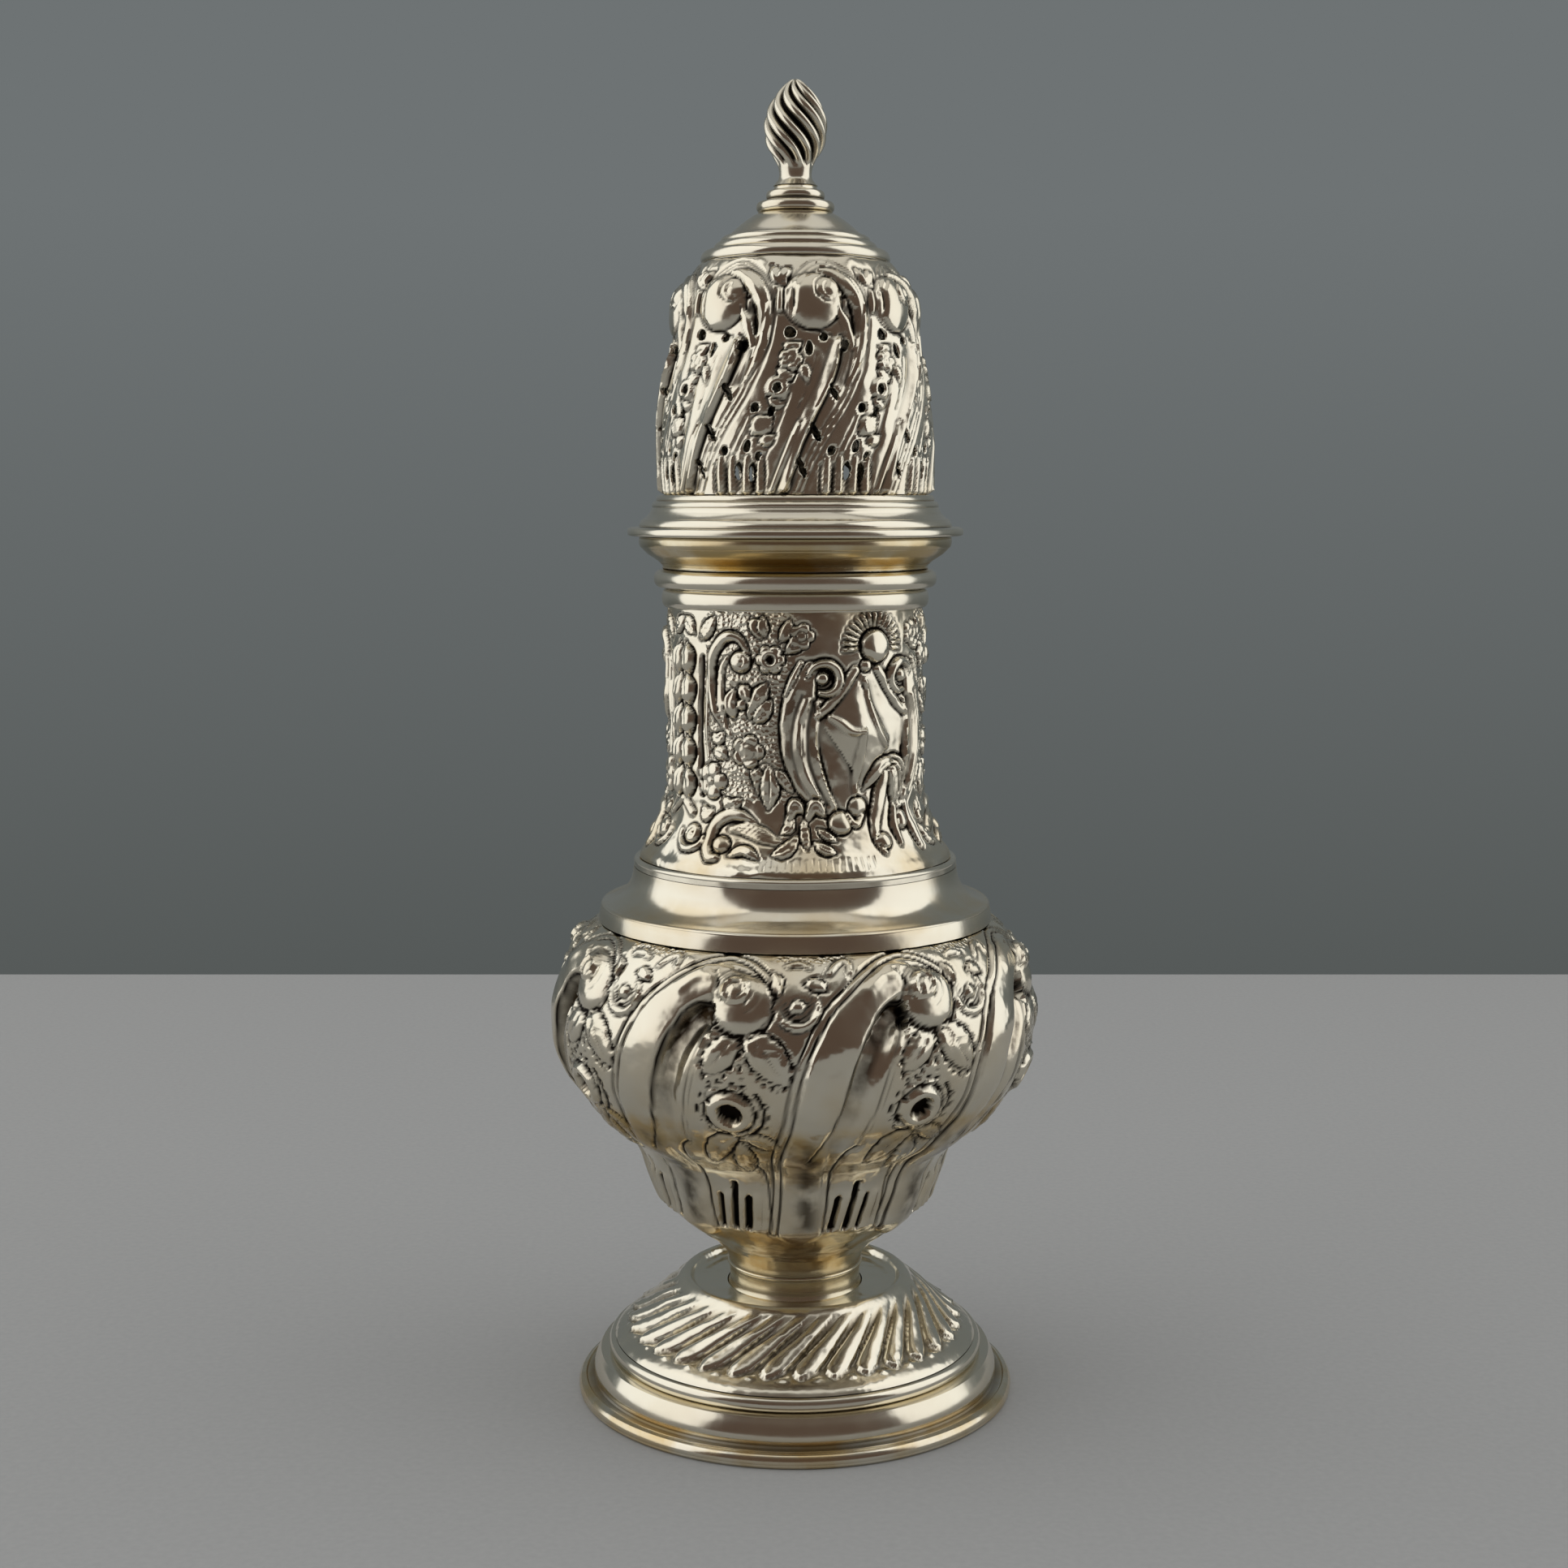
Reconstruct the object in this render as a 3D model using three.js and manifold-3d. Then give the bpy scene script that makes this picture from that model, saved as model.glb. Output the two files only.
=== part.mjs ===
// Silver baluster sugar caster: a swirl-lobed bowl on a gadrooned foot, a chased neck,
// and a pierced cover that pulls straight up out of the neck.
// Millimetres, +Z up, origin at the centre of the foot on the table. The front faces -Y.
// Angles are degrees about +Z, 0 at the front, growing towards +X.

import * as THREE from "three";
import { mergeVertices } from "three/addons/utils/BufferGeometryUtils.js";
import Module from "manifold-3d";

const wasm = await Module();
wasm.setup();

// Sheet metal and fits
const sheet = 0.9;
const bezelSheet = 0.8;
const bezelClearance = 0.4;
const solderGap = 0.3;

// Facets round a plain ring, round a wide or visible one and round a hollow
const ringColumns = 28;
const wideColumns = 30;
const hollowColumns = 24;

// Foot: base wire, ovolo band, bead and gadrooned dome with a dished top
const footRadius = 33.9;
const footWireHeight = 2.2;
const ovoloRadius = 31.5;
const ovoloHeight = 4.2;
const footBore = 27.4;
const footTubeWall = 0.8;
const footBeadRadius = 29.2;
const footBeadHeight = 2.2;
const footDomeRadius = 28.3;
const footDomeHeight = 9.5;
const footBandWidth = 2.7;
const footBandRise = 1.3;
const dishRimRadius = 17.2;
const dishRadius = 15.4;
const dishDepth = 1.8;
const gadroons = 32;
const gadroonDepth = 0.75;
const gadroonTwist = 19;

// Stem
const stemRadius = 10.2;
const stemHeight = 7;
const stemTopRadius = 11.7;
const stemBeadRise = 0.45;
const stemWall = 1.1;

// Bowl: a fluted lower cup that flares into a swirl-lobed belly
const bowlHeight = 51.2;
const cupRadius = 21.4;
const cupHeight = 8;
const waistRadius = 23.9;
const waistHeight = 15.6;
const hipRadius = 31;
const hipHeight = 21.9;
const bellyRadius = 37.1;
const bellyHeight = 37;
const mouthRadius = 30.1;
const repeats = 8;
const borderSlope = 0.44;
const borderAngle = -4.9;
const shaftWidth = 7.4;
const shaftRise = 0.7;
const channelWidth = 5.6;
const channelDepth = 2.1;
const channelMargin = 6;
const knobRise = 1.5;
const knobRadius = 4.9;
const knobAngle = 32.3;
const knobHeight = 45.5;

// Ornament of one of the bowl's repeats, as paths of [angle, share of the bowl's height].
// A shaft leans to the right, hooks over the top of a channel and ends in the knob.
const shaftPath = [[1.5, 0.1], [1.5, 0.33], [2.6, 0.46], [4.7, 0.6], [7.2, 0.72], [10.7, 0.82],
  [15, 0.9], [20, 0.935], [26, 0.95]];
const channelPath = [[9.8, 0.41], [12.6, 0.53], [14.5, 0.62], [16.3, 0.7], [18.6, 0.765], [21.4, 0.83]];

// Where the columns of the bowl's mesh stand in a repeat, in degrees from the shaft's left edge:
// shaft, channel and then panel
const bowlColumns = [0, 2.5, 6, 9.5, 12, 15.4, 19, 24, 29, 37];

// Shoulder and neck
const shoulderBandHeight = 2.6;
const shoulderHeight = 8.5;
const neckBaseRadius = 23.9;
const neckBaseWireRadius = 24.8;
const neckBaseWireHeight = 1.4;
const neckRadius = 19.6;
const neckFlareHeight = 9.5;
const neckHeight = 38;
const neckTopRadius = 19.3;
const shieldAngle = 32;
const shieldWidth = 12;
const shieldLength = 18.5;
const shieldRise = 1.3;
const shieldHeight = 19.5;
const pearlBelowMouth = 5;
const pearlRadius = 2.8;
const pearlRise = 1;
const scrollRise = 0.8;
const huskWidth = 3.8;
const huskRise = 0.6;
const huskMargin = 6;
const neckColumns = 48;

// Scrolls of the neck, mirrored about the shield: half-width, then a path of
// [degrees from the shield, share of the neck's height]
const neckScrolls = [
  [2.4, [[19, 0.82], [26, 0.78], [29, 0.66], [28.5, 0.54], [26, 0.42], [19, 0.27]]],
  [1.6, [[57, 0.84], [62, 0.9], [70, 0.8], [71, 0.68], [66, 0.58], [60, 0.52]]],
  [1.5, [[60, 0.11], [65, 0.16], [61, 0.21], [50, 0.2], [36, 0.14]]],
];

// Mouth mouldings
const lowerWireRadius = 20.2;
const lowerWireHeight = 2.8;
const upperWireRadius = 21.4;
const upperWireHeight = 3;
const lipRadius = 23.9;
const lipHeight = 4.8;

// Cover
const flangeRadius = 25.4;
const flangeHeight = 1.4;
const bezelDepth = 14;
const rimMouldRadius = 23.6;
const rimMouldHeight = 4.8;
const skirtRadius = 19.2;
const domeRadius = 20.4;
const domeHeight = 34;
const domeTopRadius = 14.2;
const domeWaistRadius = 18.6;
const domeWaistHeight = 25;
const domeLean = 1.43;
const fluteAngle = 25;
const fluteRise = 0.8;
const fluteSink = 0.2;
const headAngle = 12;
const headHeight = 27.6;
const headRadius = 5.6;
const headRise = 1.1;
const piercingLean = 14;
const crownRadius = 13;
const crownWireHeight = 1.9;
const crownWireRadius = 14.2;
const crownReedRadius = 12.1;
const crownReedHeight = 1.9;
const capRadius = 10.4;
const capHeight = 3.6;

// Finial
const buttonRadius = 5.85;
const buttonHeight = 3.9;
const finialHeight = 15.5;
const finialNeckRadius = 2.5;
const budRadius = 4.7;
const budRidges = 10;
const budRidgeDepth = 0.7;
const budTwist = -150;

// Piercings of one of the cover's repeats: angle, height above the dome's edge, width, length
const piercings = [
  [-2.5, 22.9, 1.5, 1.5], [5.3, 20.5, 1.1, 2], [21.2, 21, 1.2, 1.6],
  [-7.5, 15, 1.2, 1.2], [16, 13.8, 1.1, 2.5],
  [-16.5, 11.9, 1.2, 1.7], [-9.7, 11.1, 1.1, 2.1], [7.6, 9, 1.1, 2.8],
  [-19.7, 6.8, 1.1, 1.8], [-15.6, 4.7, 1.1, 2.4], [1.8, 4, 1.1, 3.2],
];

// Levels of the stacked pieces, from the table up
const footBeadLevel = footWireHeight + ovoloHeight;
const footDomeLevel = footBeadLevel + footBeadHeight;
const dishLevel = footDomeLevel + footDomeHeight - dishDepth;
const bowlLevel = dishLevel + stemHeight;
const shoulderLevel = bowlLevel + bowlHeight;
const neckWireLevel = shoulderLevel + shoulderHeight;
const neckLevel = neckWireLevel + neckBaseWireHeight;
const lowerWireLevel = neckLevel + neckHeight;
const upperWireLevel = lowerWireLevel + lowerWireHeight;
const lipLevel = upperWireLevel + upperWireHeight;
const flangeLevel = lipLevel + lipHeight;
const rimMouldLevel = flangeLevel + flangeHeight;
const domeLevel = rimMouldLevel + rimMouldHeight;
const crownLevel = domeLevel + domeHeight;
const reedLevel = crownLevel + crownWireHeight;
const capLevel = reedLevel + crownReedHeight;
const buttonLevel = capLevel + capHeight;
const finialLevel = buttonLevel + buttonHeight;

// Radii that follow from the fits
const neckBore = neckTopRadius - sheet;
const bezelRadius = neckBore - bezelClearance;
const bezelBore = bezelRadius - bezelSheet;

const silver = { color: 0xb9b3a3, roughness: 0.28, metalness: 1 };
const gilded = { color: 0xa9925f, roughness: 0.34, metalness: 1 };

// Shapes

const degrees = Math.PI / 180;
const at = (r, z) => new THREE.Vector2(r, z);
const smooth = (x) => (x <= 0 ? 0 : x >= 1 ? 1 : x * x * (3 - 2 * x));
const swell = (x) => (x <= 0 || x >= 1 ? 0 : Math.sin(Math.PI * x));

// A turned solid: the section runs anticlockwise in the r-z plane.
function turned(section, columns) {
  return new THREE.LatheGeometry(section, columns).rotateX(Math.PI / 2);
}

// A turned ring whose section closes on itself.
function ring(section, columns = ringColumns) {
  return turned([...section, section[0]], columns);
}

// Points of a half round that bulges outwards from r to r + rise.
function roundEdge(r, rise, bottom, top, steps = 2) {
  const points = [];
  for (let i = 0; i <= steps; i++) {
    const turn = (i / steps - 0.5) * Math.PI;
    points.push(at(r + rise * Math.cos(turn), (bottom + top) / 2 + ((top - bottom) / 2) * Math.sin(turn)));
  }
  return points;
}

// A half round wire bent into a ring round the seat that it is soldered to.
function wire(seat, outer, bottom, top) {
  const bore = seat + solderGap;
  const flat = outer - Math.min((outer - bore) / 2, (top - bottom) / 2);
  return ring([at(bore, bottom), ...roundEdge(flat, outer - flat, bottom, top), at(bore, top)]);
}

// Raises the outer surface: each vertex moves out from the axis by relief(angle, z, radius), and
// round the axis by twist(z, angle), so that the mesh runs along ornament that leans or swirls.
function chased(geometry, relief, twist = () => 0) {
  const position = geometry.attributes.position;
  for (let i = 0; i < position.count; i++) {
    const x = position.getX(i);
    const y = position.getY(i);
    const z = position.getZ(i);
    const r = Math.hypot(x, y);
    if (r < 0.01) continue;
    const angle = Math.atan2(x, -y) / degrees;
    const raised = r + relief(angle, z, r);
    const turnedTo = (angle + twist(z, angle)) * degrees;
    position.setXYZ(i, raised * Math.sin(turnedTo), -raised * Math.cos(turnedTo), z);
  }
  return geometry;
}

function toSolid(geometry) {
  const bare = geometry.clone();
  bare.deleteAttribute("normal");
  bare.deleteAttribute("uv");
  const merged = mergeVertices(bare, 1e-4);
  const corners = merged.index.array;
  const kept = [];
  for (let i = 0; i < corners.length; i += 3) {
    const [a, b, c] = corners.slice(i, i + 3);
    if (a !== b && b !== c && c !== a) kept.push(a, b, c);
  }
  return new wasm.Manifold(new wasm.Mesh({
    numProp: 3,
    vertProperties: merged.attributes.position.array,
    triVerts: Uint32Array.from(kept),
  }));
}

function toGeometry(solid) {
  const mesh = solid.getMesh();
  const geometry = new THREE.BufferGeometry();
  geometry.setAttribute("position", new THREE.BufferAttribute(Float32Array.from(mesh.vertProperties), 3));
  geometry.setIndex(new THREE.BufferAttribute(Uint32Array.from(mesh.triVerts), 1));
  geometry.computeVertexNormals();
  return geometry;
}

// Where an angle lies in the repeat that starts at the given angle, as a share from 0 to 1.
function shareOfRepeat(angle, start) {
  const pitch = 360 / repeats;
  return (((angle - start) / pitch) % 1 + 1) % 1;
}

// Smallest signed angle from b to a within one repeat.
function angleWithinRepeat(a, b) {
  const pitch = 360 / repeats;
  return (shareOfRepeat(a, b - pitch / 2) - 0.5) * pitch;
}

// Foot

function footRim() {
  const crease = ovoloRadius + 0.1;
  const wireEdge = roundEdge(footRadius - 0.9, 0.9, 0, footWireHeight);
  const ovolo = new THREE.QuadraticBezierCurve(
    at(crease, footWireHeight),
    at(ovoloRadius + 0.3, footBeadLevel - 0.4),
    at(footBeadRadius - 0.2, footBeadLevel),
  ).getPoints(3);
  const tube = footBore + footTubeWall;
  return ring([
    at(footBore, 0),
    ...wireEdge,
    ...ovolo,
    at(tube, footBeadLevel),
    at(tube, footDomeLevel),
    at(footBore, footDomeLevel),
  ], wideColumns);
}

function footDome() {
  const bandRadius = footDomeRadius - footBandWidth;
  const bandLevel = footDomeLevel + footBandRise;
  const top = dishLevel + dishDepth;
  const slope = new THREE.CubicBezierCurve(
    at(bandRadius, bandLevel),
    at(bandRadius - 3.4, bandLevel + 1),
    at(dishRimRadius + 2.6, top - 4.6),
    at(dishRimRadius, top - 0.4),
  ).getPoints(4);
  const outer = turned([
    at(0, footDomeLevel),
    at(footDomeRadius, footDomeLevel),
    ...slope,
    at(dishRimRadius - 0.6, top),
    at(dishRadius, dishLevel),
    at(0, dishLevel),
  ], gadroons * 3);
  const shareUp = (z) => THREE.MathUtils.clamp((z - bandLevel) / (top - 0.4 - bandLevel), 0, 1);
  chased(outer, (angle, z) => {
    const ends = swell(shareUp(z)) ** 0.4;
    const lobe = Math.abs(Math.sin((Math.PI * angle * gadroons) / 360));
    return gadroonDepth * ends * (lobe - 0.7);
  }, (z) => gadroonTwist * shareUp(z));
  const hollowRim = footDomeRadius - 1.8;
  const hollow = turned([
    at(0, footDomeLevel - 1),
    at(hollowRim, footDomeLevel - 1),
    at(hollowRim, footDomeLevel),
    ...new THREE.CubicBezierCurve(
      at(bandRadius - 1.6, bandLevel - 0.5),
      at(bandRadius - 4.6, bandLevel + 0.3),
      at(dishRimRadius + 1.6, top - 6),
      at(dishRimRadius - 1.4, dishLevel - sheet),
    ).getPoints(3),
    at(0, dishLevel - sheet),
  ], hollowColumns);
  return toGeometry(toSolid(outer).subtract(toSolid(hollow)));
}

function stem() {
  const beadLevel = dishLevel + 0.53 * stemHeight;
  return ring([
    at(stemRadius - stemWall, dishLevel),
    at(stemRadius, dishLevel),
    at(stemRadius, beadLevel - 0.5),
    at(stemRadius + stemBeadRise, beadLevel),
    at(stemRadius + 0.1, beadLevel + 0.5),
    at(stemRadius + 0.4, beadLevel + 1.6),
    at(stemTopRadius, bowlLevel),
    at(stemRadius - stemWall, bowlLevel),
  ]);
}

// Distance on a round wall from a point to a path of [angle, share of the height] points.
// The angle between the point and the start of each stretch comes from turnTo.
function distanceToPath(path, turnTo, radius, up, height) {
  const point = new THREE.Vector3(0, up, 0);
  let nearest = Infinity;
  for (let i = 1; i < path.length; i++) {
    const [angle, share] = path[i - 1];
    const [nextAngle, nextShare] = path[i];
    const across = turnTo(angle) * degrees * radius;
    const stretch = new THREE.Line3(
      new THREE.Vector3(across, share * height, 0),
      new THREE.Vector3(across + (nextAngle - angle) * degrees * radius, nextShare * height, 0),
    );
    const closest = stretch.closestPointToPoint(point, true, new THREE.Vector3());
    nearest = Math.min(nearest, closest.distanceTo(point));
  }
  return nearest;
}

// Bowl

const bowlLean = (z) => borderAngle + borderSlope * (z - bowlLevel - hipHeight);

// How far a column of the mesh moves from its even place to its station in the repeat.
function bowlColumnShift(angle) {
  const column = Math.round(shareOfRepeat(angle, 0) * bowlColumns.length) % bowlColumns.length;
  return bowlColumns[column] - (column * 360) / repeats / bowlColumns.length;
}

// Each repeat holds a flat shaft that hooks over into a knob, a channel beside it and a panel.
function bowlRelief(angle, z, radius) {
  const up = z - bowlLevel;
  const trueAngle = angle + bowlColumnShift(angle) + bowlLean(z);
  const turnTo = (place) => angleWithinRepeat(place, trueAngle);
  const ends = smooth((up - cupHeight * 0.8) / 3) * smooth((bowlHeight - up) / 2);
  const fromShaft = distanceToPath(shaftPath, turnTo, radius, up, bowlHeight) / (shaftWidth / 2);
  const shaft = shaftRise * Math.max(0, 1 - fromShaft ** 4);
  const fromChannel = distanceToPath(channelPath, turnTo, radius, up, bowlHeight) / (channelWidth / 2);
  const channelRun = knobHeight - waistHeight - 2 * channelMargin;
  const deepening = smooth((up - waistHeight - channelMargin) / channelRun);
  const channel = -channelDepth * deepening * Math.max(0, 1 - fromChannel ** 2);
  const fromKnob = Math.hypot(turnTo(knobAngle) * degrees * radius, up - knobHeight) / knobRadius;
  const raised = ends * (shaft + channel);
  return fromKnob < 1 ? Math.max(raised, knobRise * Math.sqrt(1 - fromKnob ** 2)) : raised;
}

function bowl() {
  const wall = new THREE.SplineCurve([
    at(stemTopRadius, 0),
    at(cupRadius, cupHeight),
    at(waistRadius, waistHeight),
    at(hipRadius, hipHeight),
    at(bellyRadius - 1, hipHeight + 0.5 * (bellyHeight - hipHeight)),
    at(bellyRadius, bellyHeight),
    at(bellyRadius - 1.2, bellyHeight + 0.55 * (bowlHeight - bellyHeight)),
    at(mouthRadius + 2.4, bowlHeight - 1.6),
    at(mouthRadius, bowlHeight),
  ]);
  const section = wall.getPoints(15).map((p) => at(p.x, p.y + bowlLevel));
  const outer = turned(
    [at(0, bowlLevel), ...section, at(0, shoulderLevel)],
    repeats * bowlColumns.length,
  );
  chased(
    outer,
    (angle, z, radius) => (z <= bowlLevel || z >= shoulderLevel ? 0 : bowlRelief(angle, z, radius)),
    (z, angle) => bowlLean(z) + bowlColumnShift(angle),
  );
  const deepest = channelDepth + 0.6 * sheet;
  const hollowWall = wall.getPoints(7).slice(1, -1).map((p) => at(p.x - deepest, p.y + bowlLevel));
  const hollow = turned([
    at(0, bowlLevel + sheet),
    at(stemTopRadius - sheet, bowlLevel + sheet),
    ...hollowWall,
    at(mouthRadius - sheet, shoulderLevel - 1),
    at(mouthRadius - sheet, shoulderLevel + 1),
    at(0, shoulderLevel + 1),
  ], hollowColumns);
  return toGeometry(toSolid(outer).subtract(toSolid(hollow)));
}

// Shoulder and neck

function shoulder() {
  const bandTop = shoulderLevel + shoulderBandHeight;
  const ogee = new THREE.CubicBezierCurve(
    at(mouthRadius - 1.2, bandTop + 0.2),
    at(mouthRadius - 3.6, bandTop + 1.6),
    at(neckBaseRadius + 0.4, neckWireLevel - 3),
    at(neckBaseRadius + 0.1, neckWireLevel),
  ).getPoints(4);
  const inside = new THREE.CubicBezierCurve(
    at(neckBaseRadius - sheet, neckWireLevel),
    at(neckBaseRadius - sheet, neckWireLevel - 3.4),
    at(mouthRadius - 4.6, bandTop + 0.8),
    at(mouthRadius - 1.6, bandTop - sheet),
  ).getPoints(2);
  return ring([
    at(mouthRadius - sheet, shoulderLevel),
    at(mouthRadius + 0.1, shoulderLevel),
    at(mouthRadius + 0.1, bandTop - 0.3),
    at(mouthRadius - 0.3, bandTop),
    ...ogee,
    ...inside,
  ], wideColumns);
}

function neckRelief(angle, z, radius) {
  const up = z - neckLevel;
  const fromShield = Math.abs(((((angle - shieldAngle) % 180) + 270) % 180) - 90);
  const across = fromShield * degrees * radius;
  const kite = 1 - across / (shieldWidth / 2) - Math.abs(up - shieldHeight) / (shieldLength / 2);
  const fromPearl = Math.hypot(across, up - (neckHeight - pearlBelowMouth)) / pearlRadius;
  let raised = Math.max(0, shieldRise * kite, pearlRise * (1 - fromPearl ** 2));
  for (const [halfWidth, path] of neckScrolls) {
    const reach = distanceToPath(path, (place) => place - fromShield, radius, up, neckHeight);
    raised = Math.max(raised, scrollRise * (1 - (reach / halfWidth) ** 2));
  }
  const fromHusk = (90 - fromShield) * degrees * radius;
  const huskShare = (up - huskMargin) / (neckHeight - 2 * huskMargin);
  const husk = huskRise * swell(0.5 + fromHusk / huskWidth) * swell(huskShare);
  return Math.max(raised, husk);
}

function neck() {
  const flare = new THREE.QuadraticBezierCurve(
    at(neckBaseRadius, neckLevel),
    at(neckRadius, neckLevel + 0.4 * neckFlareHeight),
    at(neckRadius, neckLevel + neckFlareHeight),
  ).getPoints(3);
  const column = [];
  const rows = 8;
  for (let i = 1; i <= rows; i++) {
    const share = i / rows;
    const r = THREE.MathUtils.lerp(neckRadius, neckTopRadius, share);
    column.push(at(r, THREE.MathUtils.lerp(neckLevel + neckFlareHeight, lowerWireLevel, share)));
  }
  const outer = turned([
    at(0, neckWireLevel),
    at(neckBaseRadius, neckWireLevel),
    ...flare,
    ...column,
    at(neckTopRadius, flangeLevel),
    at(0, flangeLevel),
  ], neckColumns);
  chased(outer, (angle, z, radius) => (
    z <= neckLevel || z >= lowerWireLevel ? 0 : neckRelief(angle, z, radius)
  ));
  const bore = turned([
    at(0, neckWireLevel - 1),
    at(neckBaseRadius - sheet, neckWireLevel - 1),
    at(neckBaseRadius - sheet, neckLevel),
    at(neckRadius + 0.6 - sheet, neckLevel + 0.45 * neckFlareHeight),
    at(neckBore, neckLevel + neckFlareHeight),
    at(neckBore, flangeLevel + 1),
    at(0, flangeLevel + 1),
  ], hollowColumns);
  return toGeometry(toSolid(outer).subtract(toSolid(bore)));
}

function neckLip() {
  const cavetto = new THREE.CubicBezierCurve(
    at(upperWireRadius - 1.5, lipLevel),
    at(upperWireRadius - 1.3, lipLevel + 0.35 * lipHeight),
    at(lipRadius - 0.9, lipLevel + 0.35 * lipHeight),
    at(lipRadius - 0.5, lipLevel + 0.75 * lipHeight),
  ).getPoints(4);
  const edge = roundEdge(lipRadius - 0.4, 0.4, flangeLevel - 0.2 * lipHeight, flangeLevel);
  const bore = neckTopRadius + solderGap;
  return ring([at(bore, lipLevel), ...cavetto, ...edge.slice(1), at(bore, flangeLevel)], wideColumns);
}

// Cover

function coverFlange() {
  return ring([
    at(bezelBore, flangeLevel),
    ...roundEdge(flangeRadius - 0.4, 0.4, flangeLevel, rimMouldLevel),
    at(bezelBore, rimMouldLevel),
  ], wideColumns);
}

function coverBezel() {
  return ring([
    at(bezelBore, flangeLevel - bezelDepth),
    at(bezelRadius - 0.3, flangeLevel - bezelDepth),
    at(bezelRadius, flangeLevel - bezelDepth + 0.8),
    at(bezelRadius, flangeLevel),
    at(bezelBore, flangeLevel),
  ]);
}

function coverRimMoulding() {
  const step = (rimMouldRadius - domeRadius) / 2;
  const half = rimMouldLevel + rimMouldHeight / 2;
  return ring([
    at(skirtRadius + solderGap, rimMouldLevel),
    ...roundEdge(rimMouldRadius - 0.5, 0.5, rimMouldLevel, half),
    ...roundEdge(rimMouldRadius - step - 0.5, 0.5, half + 0.1, domeLevel),
    at(skirtRadius + solderGap, domeLevel),
  ], wideColumns);
}

function domeRelief(angle, z) {
  const up = z - domeLevel;
  const ends = smooth(up / 2) * smooth((domeHeight - 3.5 - up) / 3);
  const share = shareOfRepeat(angle, fluteAngle);
  const flute = fluteRise * swell(share / 0.24) * smooth((headHeight + 2 - up) / 3);
  const fromHead = angleWithinRepeat(angle, headAngle) * degrees * domeWaistRadius;
  const reach = Math.hypot(fromHead, up - headHeight) / headRadius;
  const raised = ends * (flute - fluteSink);
  return reach < 1 ? Math.max(raised, headRise * Math.sqrt(1 - reach ** 2)) : raised;
}

function coverDome() {
  const wall = new THREE.SplineCurve([
    at(domeRadius - 0.2, 0),
    at(domeRadius, 0.22 * domeHeight),
    at(domeRadius - 0.9, 0.56 * domeHeight),
    at(domeWaistRadius, domeWaistHeight),
    at(domeWaistRadius - 1.4, domeHeight - 3.6),
    at(domeTopRadius, domeHeight),
  ]);
  const section = wall.getPoints(7).map((p) => at(p.x, p.y + domeLevel));
  const outer = turned([
    at(0, rimMouldLevel),
    at(skirtRadius, rimMouldLevel),
    at(skirtRadius, domeLevel),
    ...section,
    at(0, crownLevel),
  ], repeats * 6);
  const lean = (z) => domeLean * (z - domeLevel - headHeight);
  chased(outer, (angle, z) => (z <= domeLevel || z >= crownLevel ? 0 : domeRelief(angle, z)), lean);
  const hollowWall = wall.getPoints(4).slice(1, -1).map((p) => at(p.x - sheet - 0.2, p.y + domeLevel));
  const hollow = turned([
    at(0, rimMouldLevel - 1),
    at(skirtRadius - sheet, rimMouldLevel - 1),
    at(skirtRadius - sheet, domeLevel + 0.4),
    ...hollowWall,
    at(domeTopRadius - sheet, crownLevel + 1),
    at(0, crownLevel + 1),
  ], hollowColumns);
  let shell = toSolid(outer).subtract(toSolid(hollow));
  for (let i = 0; i < repeats; i++) {
    for (const [angle, up, width, length] of piercings) {
      const punch = new THREE.CylinderGeometry(0.5, 0.5, 8, 4).scale(width, 1, length);
      punch.rotateY(-piercingLean * degrees).translate(0, -domeRadius, domeLevel + up);
      punch.rotateZ((angle + (i * 360) / repeats) * degrees);
      shell = shell.subtract(toSolid(punch));
    }
  }
  return toGeometry(shell);
}

// The crown: a raised cap with a reed round it, standing on a short tube inside its wire.
function coverCrown() {
  const slope = new THREE.QuadraticBezierCurve(
    at(capRadius, capLevel),
    at(capRadius - 2, capLevel + 0.75 * capHeight),
    at(buttonRadius, buttonLevel),
  ).getPoints(2);
  const inside = new THREE.QuadraticBezierCurve(
    at(0, buttonLevel - 1.1),
    at(capRadius - 3, capLevel + 0.9 * capHeight),
    at(capRadius - 1, capLevel),
  ).getPoints(2);
  const wall = crownRadius - sheet;
  return turned([
    ...inside,
    at(crownReedRadius - 0.8 - sheet, reedLevel),
    at(wall, crownLevel),
    at(crownRadius, crownLevel),
    at(crownRadius, reedLevel - 0.3),
    ...roundEdge(crownReedRadius - 0.8, 0.8, reedLevel, capLevel),
    ...slope,
    at(0, buttonLevel),
  ], ringColumns);
}

// Finial

function finialButton() {
  const step = buttonLevel + 0.45 * buttonHeight;
  return turned([
    at(0, buttonLevel),
    ...roundEdge(buttonRadius - 0.7, 0.7, buttonLevel, step),
    ...roundEdge(buttonRadius - 2, 0.65, step + 0.1, finialLevel - 0.3),
    at(finialNeckRadius + 0.7, finialLevel),
    at(0, finialLevel),
  ], 20);
}

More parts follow.
